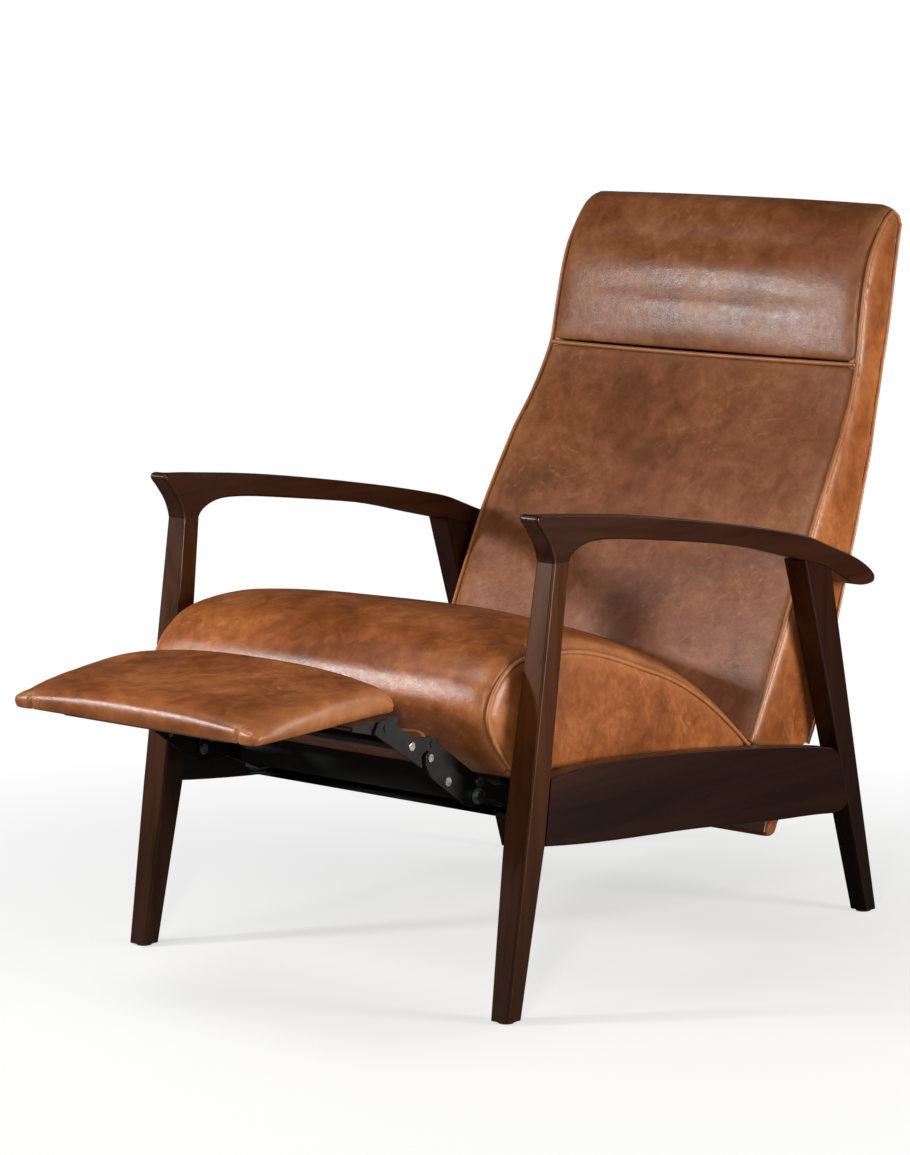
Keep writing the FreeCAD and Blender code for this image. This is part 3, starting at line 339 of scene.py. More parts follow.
def plain_wood_material():
    """Pale unfinished hardwood of the hidden frame."""
    s = Shader("inner_wood")
    figure = s.noise(1.5, 4, 0.6, 1.5, s.scaled((12, 12, 40)))
    colour = s.ramp(figure, (0.3, (0.30, 0.18, 0.09)), (0.7, (0.52, 0.36, 0.20)))
    return s.finish(colour, 0.62, s.bump(figure, 0.15, 0.001))


def black_steel_material():
    """Black paint with a slight orange peel and rubbed grey spots."""
    s = Shader("black_steel")
    rubbed = s.span(s.noise(70, 5, 0.7), 0.58, 0.75, 0, 0.5)
    colour = s.mix(rubbed, (0.0035, 0.0035, 0.0038), (0.022, 0.022, 0.023))
    roughness = s.span(s.noise(40, 3), 0.3, 0.7, 0.36, 0.52)
    return s.finish(colour, roughness, s.bump(s.noise(500, 2), 0.08, 0.0005), Specular_IOR_Level=0.3)


def zinc_material():
    """Bright zinc plating with a fine spangle."""
    s = Shader("zinc")
    colour = s.ramp(s.noise(160, 3), (0.3, (0.36, 0.36, 0.36)), (0.7, (0.62, 0.62, 0.60)))
    return s.finish(colour, s.span(s.noise(220, 3), 0.3, 0.7, 0.24, 0.42), Metallic=1.0)


def nylon_material():
    """Dark green nylon of the washers."""
    s = Shader("nylon")
    colour = s.ramp(s.noise(90, 3), (0.3, (0.008, 0.07, 0.06)), (0.7, (0.02, 0.13, 0.11)))
    return s.finish(colour, 0.45, s.bump(s.noise(600, 2), 0.1, 0.0003))


def cover_plate_material():
    """Grey-green painted board under the footrest."""
    s = Shader("cover_plate")
    colour = s.ramp(s.noise(60, 4), (0.3, (0.055, 0.085, 0.07)), (0.7, (0.10, 0.14, 0.12)))
    return s.finish(colour, 0.5, s.bump(s.noise(900, 2), 0.2, 0.0004))


def cloth_material(name, dark, light):
    """Plain woven cloth: two crossed sets of fine threads."""
    s = Shader(name)
    across = s.node("ShaderNodeTexWave", wave_type="BANDS", bands_direction="X")
    along = s.node("ShaderNodeTexWave", wave_type="BANDS", bands_direction="Y")
    for wave in (across, along):
        wave.inputs["Scale"].default_value = 260
        wave.inputs["Distortion"].default_value = 1.2
        s.link(s.place, wave.inputs["Vector"])
    weave = s.math("MULTIPLY", across.outputs["Fac"], along.outputs["Fac"])
    colour = s.mix(s.math("ADD", s.math("MULTIPLY", weave, 0.6), s.math("MULTIPLY", s.noise(40, 4), 0.4)),
                   dark, light)
    return s.finish(colour, 0.9, s.bump(weave, 0.5, 0.0005))


FLOOR_NEAR = 0.45
FLOOR_FAR = 1.5
FLOOR_GLOW = 0.6
FLOOR_DIM = (0.16, 0.15, 0.14)
FLOOR_PALE = (0.93, 0.93, 0.93)
FLOOR_REACH = 240


def floor_material():
    """White floor that fades into even white light away from the chair; other rays see it darker."""
    s = Shader("floor")
    seen = s.node("ShaderNodeLightPath").outputs["Is Camera Ray"]
    length = s.node("ShaderNodeVectorMath", operation="LENGTH")
    s.link(s.place, length.inputs[0])
    level = s.span(length.outputs["Value"], FLOOR_NEAR, FLOOR_FAR, FLOOR_GLOW, 1)
    glow = s.math("MULTIPLY", level, seen)
    emission = s.node("ShaderNodeEmission")
    emission.inputs["Strength"].default_value = 1.0
    mixed = s.node("ShaderNodeMixShader")
    s.finish(s.mix(seen, FLOOR_DIM, FLOOR_PALE), 0.7, s.bump(s.noise(3, 2), 0.01, 0.001))
    s.link(glow, mixed.inputs["Fac"])
    s.link(s.surface.outputs["BSDF"], mixed.inputs[1])
    s.link(emission.outputs["Emission"], mixed.inputs[2])
    s.link(mixed.outputs["Shader"], s.tree.nodes["Material Output"].inputs["Surface"])
    return s.material


MATERIALS = {
    "leather": leather_material("leather", (0.15, 0.038, 0.006), (0.30, 0.088, 0.021), (0.42, 0.145, 0.042),
                                (0.60, 0.27, 0.11)),
    "leather_back": leather_material("leather_back", (0.15, 0.042, 0.010), (0.26, 0.083, 0.027),
                                     (0.36, 0.135, 0.052), (0.52, 0.26, 0.13)),
    # One wood stain in lit and shaded copies: the front legs' copy is painted lighter as lit, and the rear
    # legs', side rails' and cross rail's copies darker as in shade.
    "arm_wood": wood_material("wood_along_y", 1, (0.014, 0.0034, 0.0010), (0.048, 0.0125, 0.0035)),
    "rear_leg_wood": wood_material("wood_along_z_shaded", 2, (0.008, 0.0017, 0.0004), (0.026, 0.0052, 0.0010)),
    "rail_wood": wood_material("wood_rail_shaded", 1, (0.010, 0.0019, 0.0004), (0.034, 0.0062, 0.0010)),
    "front_leg_wood": wood_material("wood_front_lit", 2, (0.034, 0.0085, 0.0010), (0.095, 0.025, 0.0030)),
    "cross_rail_wood": wood_material("wood_along_x_shaded", 0, (0.006, 0.0017, 0.0008), (0.018, 0.005, 0.002)),
    "inner_wood": plain_wood_material(),
    "black_steel": black_steel_material(),
    "zinc": zinc_material(),
    "nylon": nylon_material(),
    "cover_plate": cover_plate_material(),
    "black_cloth": cloth_material("black_cloth", (0.003, 0.003, 0.003), (0.010, 0.010, 0.010)),
    "felt": cloth_material("felt", (0.05, 0.042, 0.036), (0.12, 0.10, 0.09)),
    "floor": floor_material(),
}
# Wood of a node, by the first word of its name: copies of one stain, with painted light on the front legs
# and painted shade on the rear legs, side rails and cross rail.
WOODS = {
    "arm": "arm_wood",
    "side": "rail_wood",
    "cross": "cross_rail_wood",
    "front": "front_leg_wood",
    "rear": "rear_leg_wood",
}


def dress_cad_nodes():
    """Give every CAD node the material of its slot; dark wood follows the direction of its grain and takes
    its part's lit or shaded copy.
    """
    for row in RECORD["subparts"]:
        name = row["node"]
        slot = row["material_slot"]
        kind = WOODS[name.split("_")[0]] if slot == "wood_dark" else slot
        mesh = NODES[name].data
        mesh.materials.clear()
        mesh.materials.append(MATERIALS[kind])


# ---------------------------------------------------------------- curves and meshes
def smooth(points, count):
    """Points evenly spaced along a smooth curve through the given ones, in any number of dimensions."""
    pts = np.array(points, float)
    gaps = np.sqrt(np.linalg.norm(np.diff(pts, axis=0), axis=1))
    knots = np.concatenate([[0], np.cumsum(gaps)])
    slopes = np.gradient(pts, knots, axis=0)
    fine = np.linspace(0, knots[-1], count * 8)
    index = np.clip(np.searchsorted(knots, fine, side="right") - 1, 0, len(pts) - 2)
    span = (knots[index + 1] - knots[index])[:, None]
    t = ((fine - knots[index])[:, None]) / span
    curve = ((2 * t ** 3 - 3 * t ** 2 + 1) * pts[index] + (t ** 3 - 2 * t ** 2 + t) * span * slopes[index]
             + (3 * t ** 2 - 2 * t ** 3) * pts[index + 1] + (t ** 3 - t ** 2) * span * slopes[index + 1])
    run = np.concatenate([[0], np.cumsum(np.linalg.norm(np.diff(curve, axis=0), axis=1))])
    even = np.linspace(0, run[-1], count)
    return np.stack([np.interp(even, run, curve[:, k]) for k in range(curve.shape[1])], axis=1)


def densify(points, step):
    """Straight runs between the points, divided to about the step."""
    out = []
    for a, b in zip(points[:-1], points[1:]):
        count = max(1, int(np.linalg.norm(np.subtract(b, a)) / step))
        out += [tuple(np.array(a) + (np.array(b) - np.array(a)) * i / count) for i in range(count)]
    return out + [tuple(points[-1])]


def inset(outline, distance):
    """Closed (y, z) outline moved inward by a distance."""
    before = np.roll(outline, 1, axis=0)
    after = np.roll(outline, -1, axis=0)
    along = after - before
    along /= np.maximum(np.linalg.norm(along, axis=1), 1e-9)[:, None]
    area = np.sum(outline[:, 0] * after[:, 1] - after[:, 0] * outline[:, 1])
    normal = np.stack([-along[:, 1], along[:, 0]], axis=1) * (1 if area > 0 else -1)
    return outline + normal * distance


def new_object(name, vertices, faces):
    """Mesh object of the points and faces, linked to the scene."""
    mesh = bpy.data.meshes.new(name)
    mesh.from_pydata([tuple(v) for v in vertices], [], faces)
    mesh.validate()
    made = bpy.data.objects.new(name, mesh)
    bpy.context.scene.collection.objects.link(made)
    return made


def face_outward(obj):
    """Turn all faces of a closed mesh outward."""
    work = bmesh.new()
    work.from_mesh(obj.data)
    bmesh.ops.recalc_face_normals(work, faces=work.faces)
    work.to_mesh(obj.data)
    work.free()


def loft(name, rings):
    """Closed solid through equal rings of points."""
    count = len(rings[0])
    vertices = [point for ring in rings for point in ring]
    faces = []
    for j in range(len(rings) - 1):
        for i in range(count):
            k = (i + 1) % count
            faces.append((j * count + i, j * count + k, (j + 1) * count + k, (j + 1) * count + i))
    faces.append(tuple(reversed(range(count))))
    faces.append(tuple(range((len(rings) - 1) * count, len(rings) * count)))
    made = new_object(name, vertices, faces)
    face_outward(made)
    return made


def bake(obj):
    """Put the result of the object's modifiers into its mesh."""
    graph = bpy.context.evaluated_depsgraph_get()
    graph.update()
    made = bpy.data.meshes.new_from_object(obj.evaluated_get(graph))
    obj.modifiers.clear()
    old = obj.data
    obj.data = made
    bpy.data.meshes.remove(old)


def remesh(obj, voxel):
    """Rebuild the solid's skin from even faces of about the voxel's size."""
    modifier = obj.modifiers.new("even", "REMESH")
    modifier.mode = "VOXEL"
    modifier.voxel_size = voxel
    bake(obj)


def relax(obj, times):
    """Smooth the mesh a number of times, by half each time."""
    modifier = obj.modifiers.new("relax", "SMOOTH")
    modifier.factor = 0.5
    modifier.iterations = times
    bake(obj)


def subdivide(obj):
    """Divide each face in four, on a smooth surface."""
    modifier = obj.modifiers.new("finer", "SUBSURF")
    modifier.levels = 1
    modifier.render_levels = 1
    bake(obj)


def coordinates(obj):
    """The mesh's points as an array."""
    co = np.zeros(len(obj.data.vertices) * 3)
    obj.data.vertices.foreach_get("co", co)
    return co.reshape(-1, 3)


def set_coordinates(obj, co):
    obj.data.vertices.foreach_set("co", co.ravel())
    obj.data.update()


def near(points, seam):
    """Distance from each point to the nearest of the seam's points."""
    tree = kdtree.KDTree(len(seam))
    for index, point in enumerate(seam):
        tree.insert(point, index)
    tree.balance()
    return np.array([tree.find(point)[2] for point in points])


CALM_STEPS = 26
RIPPLE_KEPT = 0.12


def calm(obj, moved):
    """Even out the small ripples that the simulation leaves in the skin, and keep a little of them."""
    edges = np.zeros(len(obj.data.edges) * 2, int)
    obj.data.edges.foreach_get("vertices", edges)
    ends = np.concatenate([edges.reshape(-1, 2), edges.reshape(-1, 2)[:, ::-1]])
    count = np.maximum(np.bincount(ends[:, 0], minlength=len(moved)), 1)[:, None]
    even = moved
    for _ in range(CALM_STEPS):
        around = [np.bincount(ends[:, 0], even[ends[:, 1], k], len(moved)) for k in range(3)]
        even = 0.4 * even + 0.6 * np.stack(around, axis=1) / count
    return even + RIPPLE_KEPT * (moved - even)


SWELL_FRAMES = 20
# Settings of the leather skin in the simulation.
SKIN = {
    "mass": 0.35,
    "tension_stiffness": 40,
    "compression_stiffness": 40,
    "shear_stiffness": 20,
    "bending_stiffness": 12,
    "shrink_min": 0.004,
    "use_pressure": True,
    "uniform_pressure_force": 4,
}


def swell(obj, free, cap):
    """Cloth simulation: blow up the skin where free is above 0 and hold it elsewhere, moving cap at most."""
    scene = bpy.context.scene
    rest = coordinates(obj)
    group = obj.vertex_groups.new(name="held")
    for index, value in enumerate(1 - np.clip(free, 0, 1)):
        group.add([index], float(value), "REPLACE")
    modifier = obj.modifiers.new("swell", "CLOTH")
    settings = modifier.settings
    settings.vertex_group_mass = "held"
    for key, value in SKIN.items():
        setattr(settings, key, value)
    settings.effector_weights.gravity = 0
    modifier.collision_settings.use_collision = False
    modifier.point_cache.frame_start = 1
    modifier.point_cache.frame_end = SWELL_FRAMES
    for step in range(1, SWELL_FRAMES + 1):
        scene.frame_set(step)
    bake(obj)
    scene.frame_set(1)
    moved = calm(obj, coordinates(obj) - rest)
    length = np.maximum(np.linalg.norm(moved, axis=1), 1e-9)
    set_coordinates(obj, rest + moved * np.minimum(1, cap / length)[:, None])
    obj.vertex_groups.clear()


def shade_smooth(obj):
    obj.data.polygons.foreach_set("use_smooth", [True] * len(obj.data.polygons))
    obj.data.update()


# Width of the painted shade line in the seams.
SEAM_SHADE_WIDTH = 0.0045


def wear(obj, seam, reach, seam_shade=1.0):
    """Store how near each point is to the seams, for paler leather beside them and a painted shade line in
    them.
    """
    apart = near(coordinates(obj), seam)
    amounts = {"worn": np.exp(-apart / reach), "seam_shade": seam_shade * np.exp(-(apart / SEAM_SHADE_WIDTH) ** 2)}
    for name, amount in amounts.items():
        attribute = obj.data.attributes.new(name, "FLOAT", "POINT")
        attribute.data.foreach_set("value", amount.astype(np.float32))


def dress(obj, material, body):
    """Give a leather piece its material, slot and body."""
    obj.data.materials.clear()
    obj.data.materials.append(MATERIALS[material])
    shade_smooth(obj)
    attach(obj, body)
    return obj


CORD_SIDES = 10
# A cord that starts out closer to X than this takes its first cross direction from Z instead.
MOSTLY_ALONG_X = 0.8


def tube(name, points, radius):
    """Round cord along the points, as a mesh with capped ends."""
    pts = np.array(points, float)
    tangents = np.gradient(pts, axis=0)
    tangents /= np.linalg.norm(tangents, axis=1)[:, None]
    reference = np.array([1.0, 0.0, 0.0])
    if abs(tangents[0] @ reference) > MOSTLY_ALONG_X:
        reference = np.array([0.0, 0.0, 1.0])
    rings = []
    normal = np.cross(tangents[0], reference)
    for point, tangent in zip(pts, tangents):
        normal = normal - (normal @ tangent) * tangent
        normal /= np.linalg.norm(normal)
        other = np.cross(tangent, normal)
        turns = [2 * math.pi * k / CORD_SIDES for k in range(CORD_SIDES)]
        rings.append([point + radius * (math.cos(a) * normal + math.sin(a) * other) for a in turns])
    return loft(name, rings)


CORD_STEP = 0.004


def welt(name, points, radius, body):
    """Leather piping along a seam: a round cord, paler than the panels."""
    run = np.linalg.norm(np.diff(np.array(points), axis=0), axis=1).sum()
    path = smooth(points, max(6, int(run / CORD_STEP)))
    made = tube(name, path, radius)
    wear(made, [Vector(p) for p in path], 0.02, 0)
    return dress(made, "leather", body)


# ---------------------------------------------------------------- seat
SEAT_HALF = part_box("seat_cushion")[1].x - 0.001
SEAT_EDGE = 0.0065
VOXEL = 0.006
# Side welt (y, z), middle line (y, z) and how soft the crown is there, from the front lip to the heel.
SEAT_STATIONS = [
    (-276, 336, -279, 334, 0), (-314, 381, -324, 374, 0), (-326, 417, -338, 417, 0),
    (-307, 458, -326, 466, 0), (-261, 486, -280, 507, 0), (-157, 486, -172, 530, 5),
    (-81, 472, -81, 519, 20), (19, 439, 19, 496, 40), (93, 411, 93, 477, 60),
    (165, 373, 165, 456, 75), (241, 319, 250, 430, 90), (276, 289, 333, 405, 100)]
SEAT_UNDER = [(262, 284), (244, 279), (100, 290), (-100, 305), (-235, 315), (-262, 323)]


def crown(t, softness):
    """Share of the crown at t, from 0 in the middle to 1 at the welt: boxy in front, arched at the heel."""
    boxy = (1 - abs(t) ** 3) ** (1 / 3)
    arched = 1 - abs(t) ** 1.7
    return boxy * (1 - softness) + arched * softness


def edge_steps(half, edge):
    """Places across the piece, closer together where its edge is rounded; (share, inset)."""
    angles = [math.radians(d) for d in (15, 35, 55, 75, 90)]
    turn = [(half - edge * (1 - math.sin(a)), edge * (1 - math.cos(a))) for a in angles]
    flat = [(half - edge) * k / 26 for k in range(-26, 27)]
    steps = [(-x, d) for x, d in reversed(turn)] + [(x, 0) for x in flat] + turn
    return [(x / half, d) for x, d in steps]


def make_seat():
    """Seat cushion: a front roll and a crown that is arched at the heel. Returns its side welt's line."""
    stations = smooth(SEAT_STATIONS, 110)
    under = densify([tuple(stations[-1][:2])] + SEAT_UNDER + [tuple(stations[0][:2])], 8)[1:-1]
    rings = []
    for t, drop in edge_steps(SEAT_HALF, SEAT_EDGE):
        share = np.array([crown(t, s / 100) for s in stations[:, 4]])[:, None]
        top = stations[:, :2] * (1 - share) + stations[:, 2:4] * share
        outline = inset(np.concatenate([top, np.array(under)]) * MM, drop)
        rings.append([(t * SEAT_HALF, y, z) for y, z in outline])
    seat = loft("seat_leather", rings)
    remesh(seat, VOXEL)
    co = coordinates(seat)
    seams = [(side * SEAT_HALF, y * MM, z * MM) for side in (-1, 1) for y, z in stations[:, :2]]
    close = near(co, seams)
    (heel_y, heel_z), (lip_y, lip_z) = SEAT_UNDER[1], SEAT_UNDER[4]
    under_z = np.interp(co[:, 1], (lip_y * MM, heel_y * MM), (lip_z * MM, heel_z * MM))
    above = np.clip((co[:, 2] - under_z - 0.012) / 0.02, 0, 1)
    inner = np.clip((SEAT_HALF - np.abs(co[:, 0])) / 0.05, 0, 1)
    heel = np.clip((0.25 - co[:, 1]) / 0.1, 0, 1)
    swell(seat, np.clip(close / 0.03, 0, 1) * above * inner * heel, 0.024)
    relax(seat, 3)
    subdivide(seat)
    wear(seat, seams, 0.012)
    dress(seat, "leather", "seat")
    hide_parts("seat_cushion")
    return stations[:, :2]


FINE_VOXEL = 0.005
PANEL_EDGE = 0.012
PANEL_REACH = 0.045


def side_panel(name, outline, half_at, thickness, side, puff, sunk):
    """Puffed panel in a cushion's side: a slab of the outline whose outer face swells away from its edge."""
    closed = np.array(densify([tuple(p) for p in outline] + [tuple(outline[0])], 0.006)[:-1])
    rings = [[(side * (half_at(z) - depth), y, z) for y, z in closed] for depth in (thickness, 0)]
    if side < 0:
        rings.reverse()
    made = loft(name, rings)
    modifier = made.modifiers.new("fill", "TRIANGULATE")
    modifier.quad_method = "BEAUTY"
    bake(made)
    remesh(made, FINE_VOXEL)
    co = coordinates(made)
    rim = near(np.stack([np.zeros(len(co)), co[:, 1], co[:, 2]], axis=1), [(0, y, z) for y, z in closed])
    depth = np.array([half_at(z) for z in co[:, 2]]) - side * co[:, 0]
    outer = np.clip(1 - depth / (thickness * 0.6), 0, 1)
    bulge = np.sqrt(np.clip(rim / PANEL_EDGE, 0, 1)) * 0.6 + np.clip(rim / PANEL_REACH, 0, 1) * 0.4
    co[:, 0] += side * outer * (bulge * (puff + sunk) - sunk)
    set_coordinates(made, co)
    relax(made, 4)
    subdivide(made)
    return made, closed


# Small looped tab at each end of the front roll's lower edge, as (|x|, z).
TAB = [(0.150, 0.3795), (0.170, 0.3826), (0.188, 0.3842), (0.1955, 0.3815), (0.2000, 0.3755),
       (0.2018, 0.3685)]
TAB_Y = -0.3245
TAB_RADIUS = 0.0036
# The two cords of the seat's side welt: how far out of the side, how far inside the outline, and the radius.
SEAT_CORDS = ((-0.0078, 0.0006, 0.0031), (0.0004, 0.0024, 0.0031))


def make_seat_sides(curve):
    """Crescent boxing on both sides of the seat, with its double piping and the tab at the front corner."""
    closed = np.concatenate([curve, np.array(SEAT_UNDER)]) * MM
    outline = inset(closed, 0.0045)
    for word, side in (("left", 1), ("right", -1)):
        panel, rim = side_panel("seat_side_" + word, outline, lambda z: SEAT_HALF - 0.0005, 0.02, side,
                                puff=0.0055, sunk=0.004)
        wear(panel, [(side * SEAT_HALF, y, z) for y, z in rim], 0.010)
        dress(panel, "leather", "seat")
        welt("seat_tab_" + word, [(side * x, TAB_Y, z) for x, z in TAB], TAB_RADIUS, "seat")
        for index, (out, shrink, radius) in enumerate(SEAT_CORDS):
            line = inset(closed, shrink)[:len(curve)]
            path = [(side * (SEAT_HALF + out), y, z) for y, z in line]
            welt("seat_welt_%s_%d" % (word, index + 1), path, radius, "seat")


# ---------------------------------------------------------------- back
BACK_FRONT = [(279, 292), (322, 379), (369, 477), (421, 578), (487, 688), (529, 750), (562, 819.5)]
HEAD_FRONT = [(563.5, 823.5), (576, 888), (592, 954), (614, 1005), (638, 1040), (662, 1055)]
HEAD_MIDDLE = [(556, 826), (555, 884), (571, 952), (600, 1012), (630, 1049), (657, 1061)]
BACK_REAR = [(385, 130), (430, 266), (533, 562), (593, 721), (639, 842), (669, 965), (684, 1026)]
BACK_WIDTHS = [(120, 284), (200, 299), (290, 312), (440, 314), (570, 314), (690, 309), (750, 302),
               (822, 294.5), (1000, 289), (1070, 288)]


def back_half(z):
    """Half width of the back at a height, in metres."""
    heights, widths = zip(*BACK_WIDTHS)
    return float(np.interp(z / MM, heights, widths)) * MM


def rear_y(z):
    """Depth of the back's rear face at a height, in millimetres."""
    curve = REAR_CURVE
    return float(np.interp(z, curve[:, 1], curve[:, 0]))


REAR_CURVE = smooth(BACK_REAR, 200)
CUSHION_REAR = 29.5
BACK_TUCK = 0.0038
# Usual half width of the back, by which its rounded edges are spaced, in metres.
HALF_ABOUT = 0.30
BACK_EDGE = 0.007


def back_pad(name, front, middle, rear, cap, pins):
    """Cushion of the back: front line at the welts and in the middle, and a rear line, all (y, z)."""
    count = 90
    lines = smooth([(*a, *b) for a, b in zip(front, middle)], count)
    rear_line = densify([tuple(lines[-1][:2])] + rear + [tuple(lines[0][:2])], 8)[1:-1]
    rings = []
    for t, drop in edge_steps(HALF_ABOUT, BACK_EDGE):
        share = (1 - abs(t) ** 2.6) ** (1 / 1.6)
        face = lines[:, :2] * (1 - share) + lines[:, 2:4] * share
        outline = inset(np.concatenate([face, np.array(rear_line)]) * MM, drop)
        rings.append([(t * (back_half(z) - BACK_TUCK), y, z) for y, z in outline])
    made = loft(name, rings)
    remesh(made, VOXEL)
    co = coordinates(made)
    welts = [(side * (back_half(z * MM) - BACK_TUCK), y * MM, z * MM)
             for side in (-1, 1) for y, z in lines[:, :2]]
    held = welts + [(x * back_half(z * MM) / 20, y * MM, z * MM) for x in range(-19, 20) for y, z in pins]
    close = near(co, held)
    half = np.array([back_half(z) for z in co[:, 2]])
    inner = np.clip((half - 0.008 - np.abs(co[:, 0])) / 0.03, 0, 1)
    front_y = np.interp(co[:, 2], lines[:, 1] * MM, lines[:, 0] * MM)
    facing = np.clip(1 - (co[:, 1] - front_y - 0.03) / 0.02, 0, 1)
    swell(made, np.clip(close / 0.035, 0, 1) * inner * facing, cap)
    relax(made, 3)
    subdivide(made)
    wear(made, held, 0.012)
    dress(made, "leather_back", "back")
    return made


# How far the back's middle line stands forward of its welts and above them, and the share of that at each
# point of BACK_FRONT.
BACK_CROWN = (9, 3)
CROWN_SHARES = (0.3, 0.8, 1, 1, 0.9, 0.7, 0.3)


def make_back():
    """Lower back cushion and headrest."""
    middle = [(y - BACK_CROWN[0] * k, z + BACK_CROWN[1] * k) for (y, z), k in zip(BACK_FRONT, CROWN_SHARES)]
    seam = BACK_FRONT[-1]
    rear = [(rear_y(z) - CUSHION_REAR, z) for z in (812, 740, 660, 580, 500, 420, 340, 264)]
    rear = [(seam[0] + 16, seam[1] - 1)] + rear
    lower = back_pad("back_leather", BACK_FRONT, middle, rear, 0.012, [seam, BACK_FRONT[0]])
    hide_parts("back_cushion")
    rear = [(675, 1050), (682, 1042), (687, 1028), (681, 1014), (650, 1012)]
    rear += [(rear_y(z) - CUSHION_REAR, z) for z in (960, 900, 830)]
    pins = [HEAD_FRONT[0], HEAD_FRONT[-1]]
    head = back_pad("headrest_leather", HEAD_FRONT, HEAD_MIDDLE, rear, 0.016, pins)
    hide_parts("headrest_cushion")


# Height from which the headrest's top is rounded, and depth behind which its side line is not drawn in.
ROUNDING_Z = 0.975
TOP_REAR_Y = 0.686


def sunk_line(outline, proud, sunk):
    """Outline drawn in by the proud distance, and by the sunk one over the rounded top of the headrest."""
    high = np.clip((outline[:, 1] - ROUNDING_Z) / 0.06, 0, 1)
    share = high * np.clip((TOP_REAR_Y - outline[:, 0]) / 0.012, 0, 1)
    return inset(outline, proud) * (1 - share[:, None]) + inset(outline, sunk) * share[:, None]


WELT_TUCK = 0.0023
SEAM_TUCK = 0.003


def make_back_sides():
    """One long puffed boxing panel on each side, from the rail to the top, with piping along both edges."""
    front = smooth(BACK_FRONT + HEAD_FRONT[1:], 120)
    top = [(672, 1050), (680, 1040), (684, 1026)]
    rear = smooth([(684, 1026), (669, 965), (639, 842), (593, 721), (533, 562), (480, 410), (430, 266)], 100)
    foot = [(392, 256), (300, 276)]
    outline = np.array([tuple(p) for p in front] + top + [tuple(p) for p in rear[1:]] + foot) * MM
    rim_line = sunk_line(outline, 0.0016, 0.0075)
    for word, side in (("left", 1), ("right", -1)):
        panel, rim = side_panel("back_side_" + word, rim_line, lambda z: back_half(z) - 0.001, 0.022, side,
                                puff=0.004, sunk=0.0018)
        wear(panel, [(side * back_half(z), y, z) for y, z in rim], 0.012)
        dress(panel, "leather", "back")
        front_line = sunk_line(outline, 0.0014, 0.0085)[:len(front) + len(top)]
        corner = len(front) + len(top) - 1
        rear_line = inset(outline, 0.0012)[corner:corner + len(rear)]
        welts = (("back_welt_", front_line, 0.0032), ("back_rear_welt_", rear_line, 0.0031))
        for name, line, radius in welts:
            welt(name + word, [(side * (back_half(z) - WELT_TUCK), y, z) for y, z in line], radius, "back")


def make_head_seams():
    """Piping across the back under the headrest, sagging a little, and along the top rear edge."""
    for name, (y, z), (dip_y, dip_z), radius in (("head_seam_welt", (561.5, 821.7), (8, 1.2), 0.0034),
                                                 ("head_rear_welt", (683, 1013), (0, 0), 0.0026)):
        half = back_half(z * MM) - SEAM_TUCK
        shares = [k / 20 for k in range(-20, 21)]
        points = [(t * half, (y - dip_y * (1 - t * t)) * MM, (z - dip_z * (1 - t * t)) * MM) for t in shares]
        welt(name, points, radius, "back")


def make_back_outer():
    """Outer back: one leather panel over the whole rear, wrapped under the lower rail."""
    heights = [1010, 960, 900, 830, 760, 690, 620, 550, 480, 410, 340, 270, 200, 150]
    outer = [(rear_y(z), z) for z in heights] + [(389, 134), (380, 130), (368, 131), (360, 137)]
    inner = [(rear_y(z) - 28, z) for z in (150, 200, 250)]
    inner += [(rear_y(z) - 9, z) for z in (256, 340, 500, 700, 1000)]
    outline = np.array(densify(outer, 8) + densify(inner, 8)) * MM
    behind = outline[:, 0] > np.interp(outline[:, 1], REAR_CURVE[:, 1] * MM, REAR_CURVE[:, 0] * MM) - 0.004
    rings = []
    for t, drop in edge_steps(HALF_ABOUT, 0.006):
        ring = inset(outline, drop)
        ring[:, 0] += 0.003 * (1 - t ** 4) * behind
        rings.append([(t * (back_half(z) - 0.005), y, z) for y, z in ring])
    made = loft("back_outer_leather", rings)
    remesh(made, FINE_VOXEL)
    relax(made, 4)
    subdivide(made)
    seams = [(side * back_half(z), y, z) for side in (-1, 1) for y, z in outline]
    wear(made, seams, 0.012)
    dress(made, "leather", "back")
    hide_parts("back_panel")


# ---------------------------------------------------------------- footrest
REST_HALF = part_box("footrest_pad")[1].x
REST_FRONT = (-687, 421)
REST_TILT = math.radians(1.5)
REST_DEPTH = 277
# Section of the pad, as depth from the front edge and height above the underside.
REST_PROFILE = [(3, -1.5), (0, 3), (-1, 11), (1, 22), (9, 32), (30, 40.5), (70, 48), (120, 53), (170, 57),
                (215, 57.5), (250, 53), (268, 41), (276, 25), (277, 10), (276, 3), (273, -1.5)]
REST_EDGE = 0.010
REST_CROWN = 0.020
FOLD_X = 0.193


def rest_point(x, s, h):
    """Point of the tilted footrest: s back from its front edge and h above its underside, in metres."""
    y, z = REST_FRONT[0] * MM, REST_FRONT[1] * MM
    c, k = math.cos(REST_TILT), math.sin(REST_TILT)
    return (x, y + s * c - h * k, z + s * k + h * c)


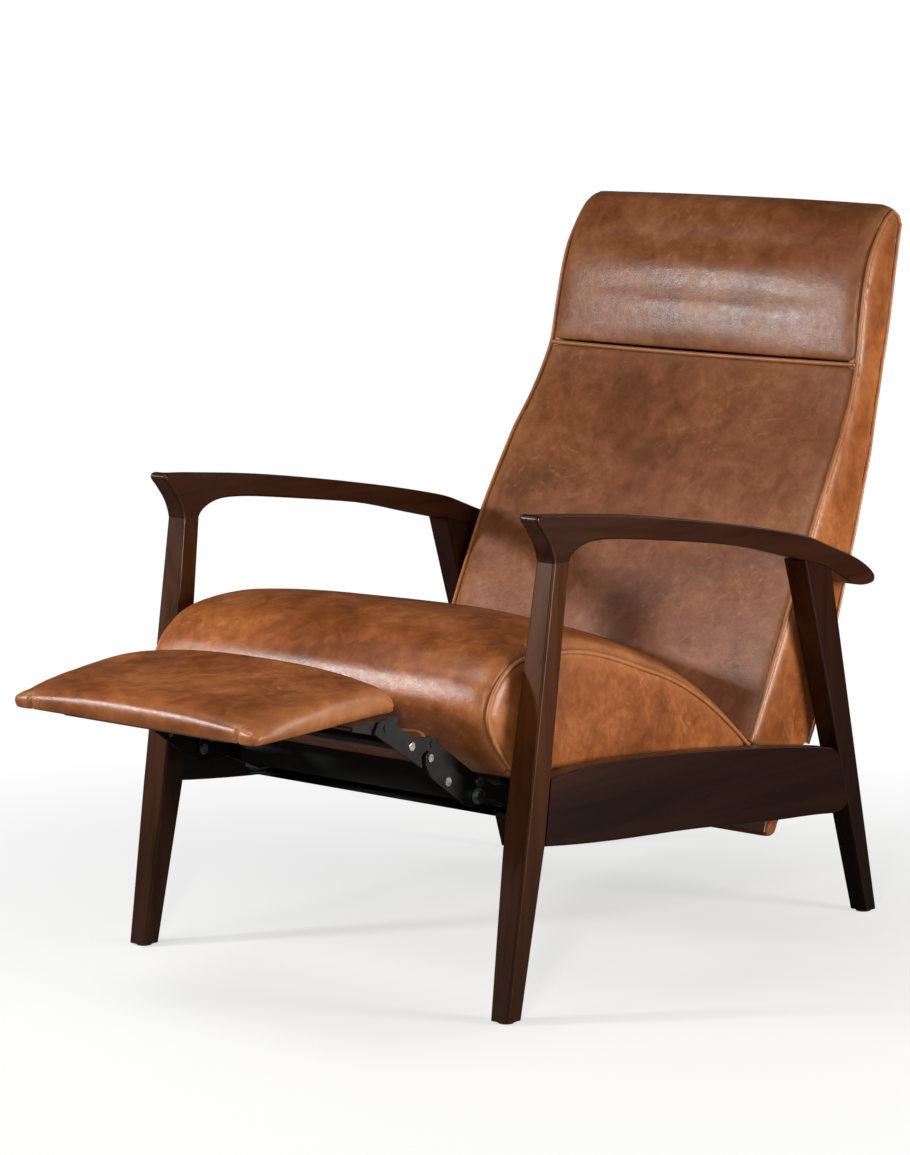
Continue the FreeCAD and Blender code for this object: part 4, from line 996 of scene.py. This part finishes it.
def make_footrest():
    """Footrest pad: crowned top, flat underside, and leather folded round its front corners."""
    profile = smooth(REST_PROFILE, 90)
    under = densify([tuple(profile[-1]), tuple(profile[0])], 8)[1:-1]
    closed = np.concatenate([profile, np.array(under)]) * MM
    rings = []
    for t, drop in edge_steps(REST_HALF, REST_EDGE):
        ring = []
        for s, h in inset(closed, drop * 0.4):
            high = min(1.0, max(0.0, (h - 0.011) / 0.028))
            ring.append(rest_point(t * REST_HALF, s, h - (drop + REST_CROWN * abs(t) ** 2.6) * high))
        rings.append(ring)
    pad = loft("footrest_leather", rings)
    remesh(pad, FINE_VOXEL)
    local = to_rest(coordinates(pad))
    top = np.clip((local[:, 2] - 0.018) / 0.012, 0, 1)
    rim = np.minimum.reduce([REST_HALF - np.abs(local[:, 0]), local[:, 1], REST_DEPTH * MM - local[:, 1]])
    swell(pad, top * np.clip(rim / 0.05, 0, 1), 0.008)
    relax(pad, 3)
    subdivide(pad)
    co = coordinates(pad)
    local = to_rest(co)
    # Corner wraps: the side leather is folded round the corner and lies on the front face, a little proud.
    face = np.clip((0.020 - local[:, 1]) / 0.012, 0, 1) * np.clip((0.030 - local[:, 2]) / 0.010, 0, 1)
    past = (np.abs(local[:, 0]) - FOLD_X) / 0.0012
    step = 1 / (1 + np.exp(-np.clip(past, -30, 30)))
    groove = np.exp(-((np.abs(local[:, 0]) - FOLD_X + 0.002) / 0.0022) ** 2)
    co[:, 1] += face * (-0.0024 * step + 0.0045 * groove)
    low = np.clip((0.004 - local[:, 2]) / 0.003, 0, 1)
    co[:, 2] += np.where(local[:, 2] < 0.004, -0.0015 - local[:, 2], 0) * low
    set_coordinates(pad, co)
    seams = []
    for side in (-1, 1):
        seams += [rest_point(side * FOLD_X, 0, h * MM) for h in range(0, 24, 3)]
        seams += [rest_point(side * REST_HALF, s * MM, 0.018) for s in range(0, REST_DEPTH, 6)]
    wear(pad, seams, 0.016, 0)
    dress(pad, "leather", "footrest")
    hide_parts("footrest_pad")


def to_rest(co):
    """Coordinates in the tilted footrest's own frame: x, depth from the front edge, height."""
    y = co[:, 1] - REST_FRONT[0] * MM
    z = co[:, 2] - REST_FRONT[1] * MM
    c, k = math.cos(REST_TILT), math.sin(REST_TILT)
    return np.stack([co[:, 0], y * c + z * k, z * c - y * k], axis=1)


# ---------------------------------------------------------------- floor
def make_floor():
    """Large flat floor at z = 0."""
    r = FLOOR_REACH
    floor = new_object("floor", [(-r, -r, 0), (r, -r, 0), (r, r, 0), (-r, r, 0)], [(0, 1, 2, 3)])
    floor.data.materials.append(MATERIALS["floor"])


make_camera()
make_world()
make_lights()
make_floor()
dress_cad_nodes()
make_seat_sides(make_seat())
make_back()
make_back_sides()
make_head_seams()
make_back_outer()
make_footrest()
bpy.context.scene.view_settings.view_transform = "Standard"
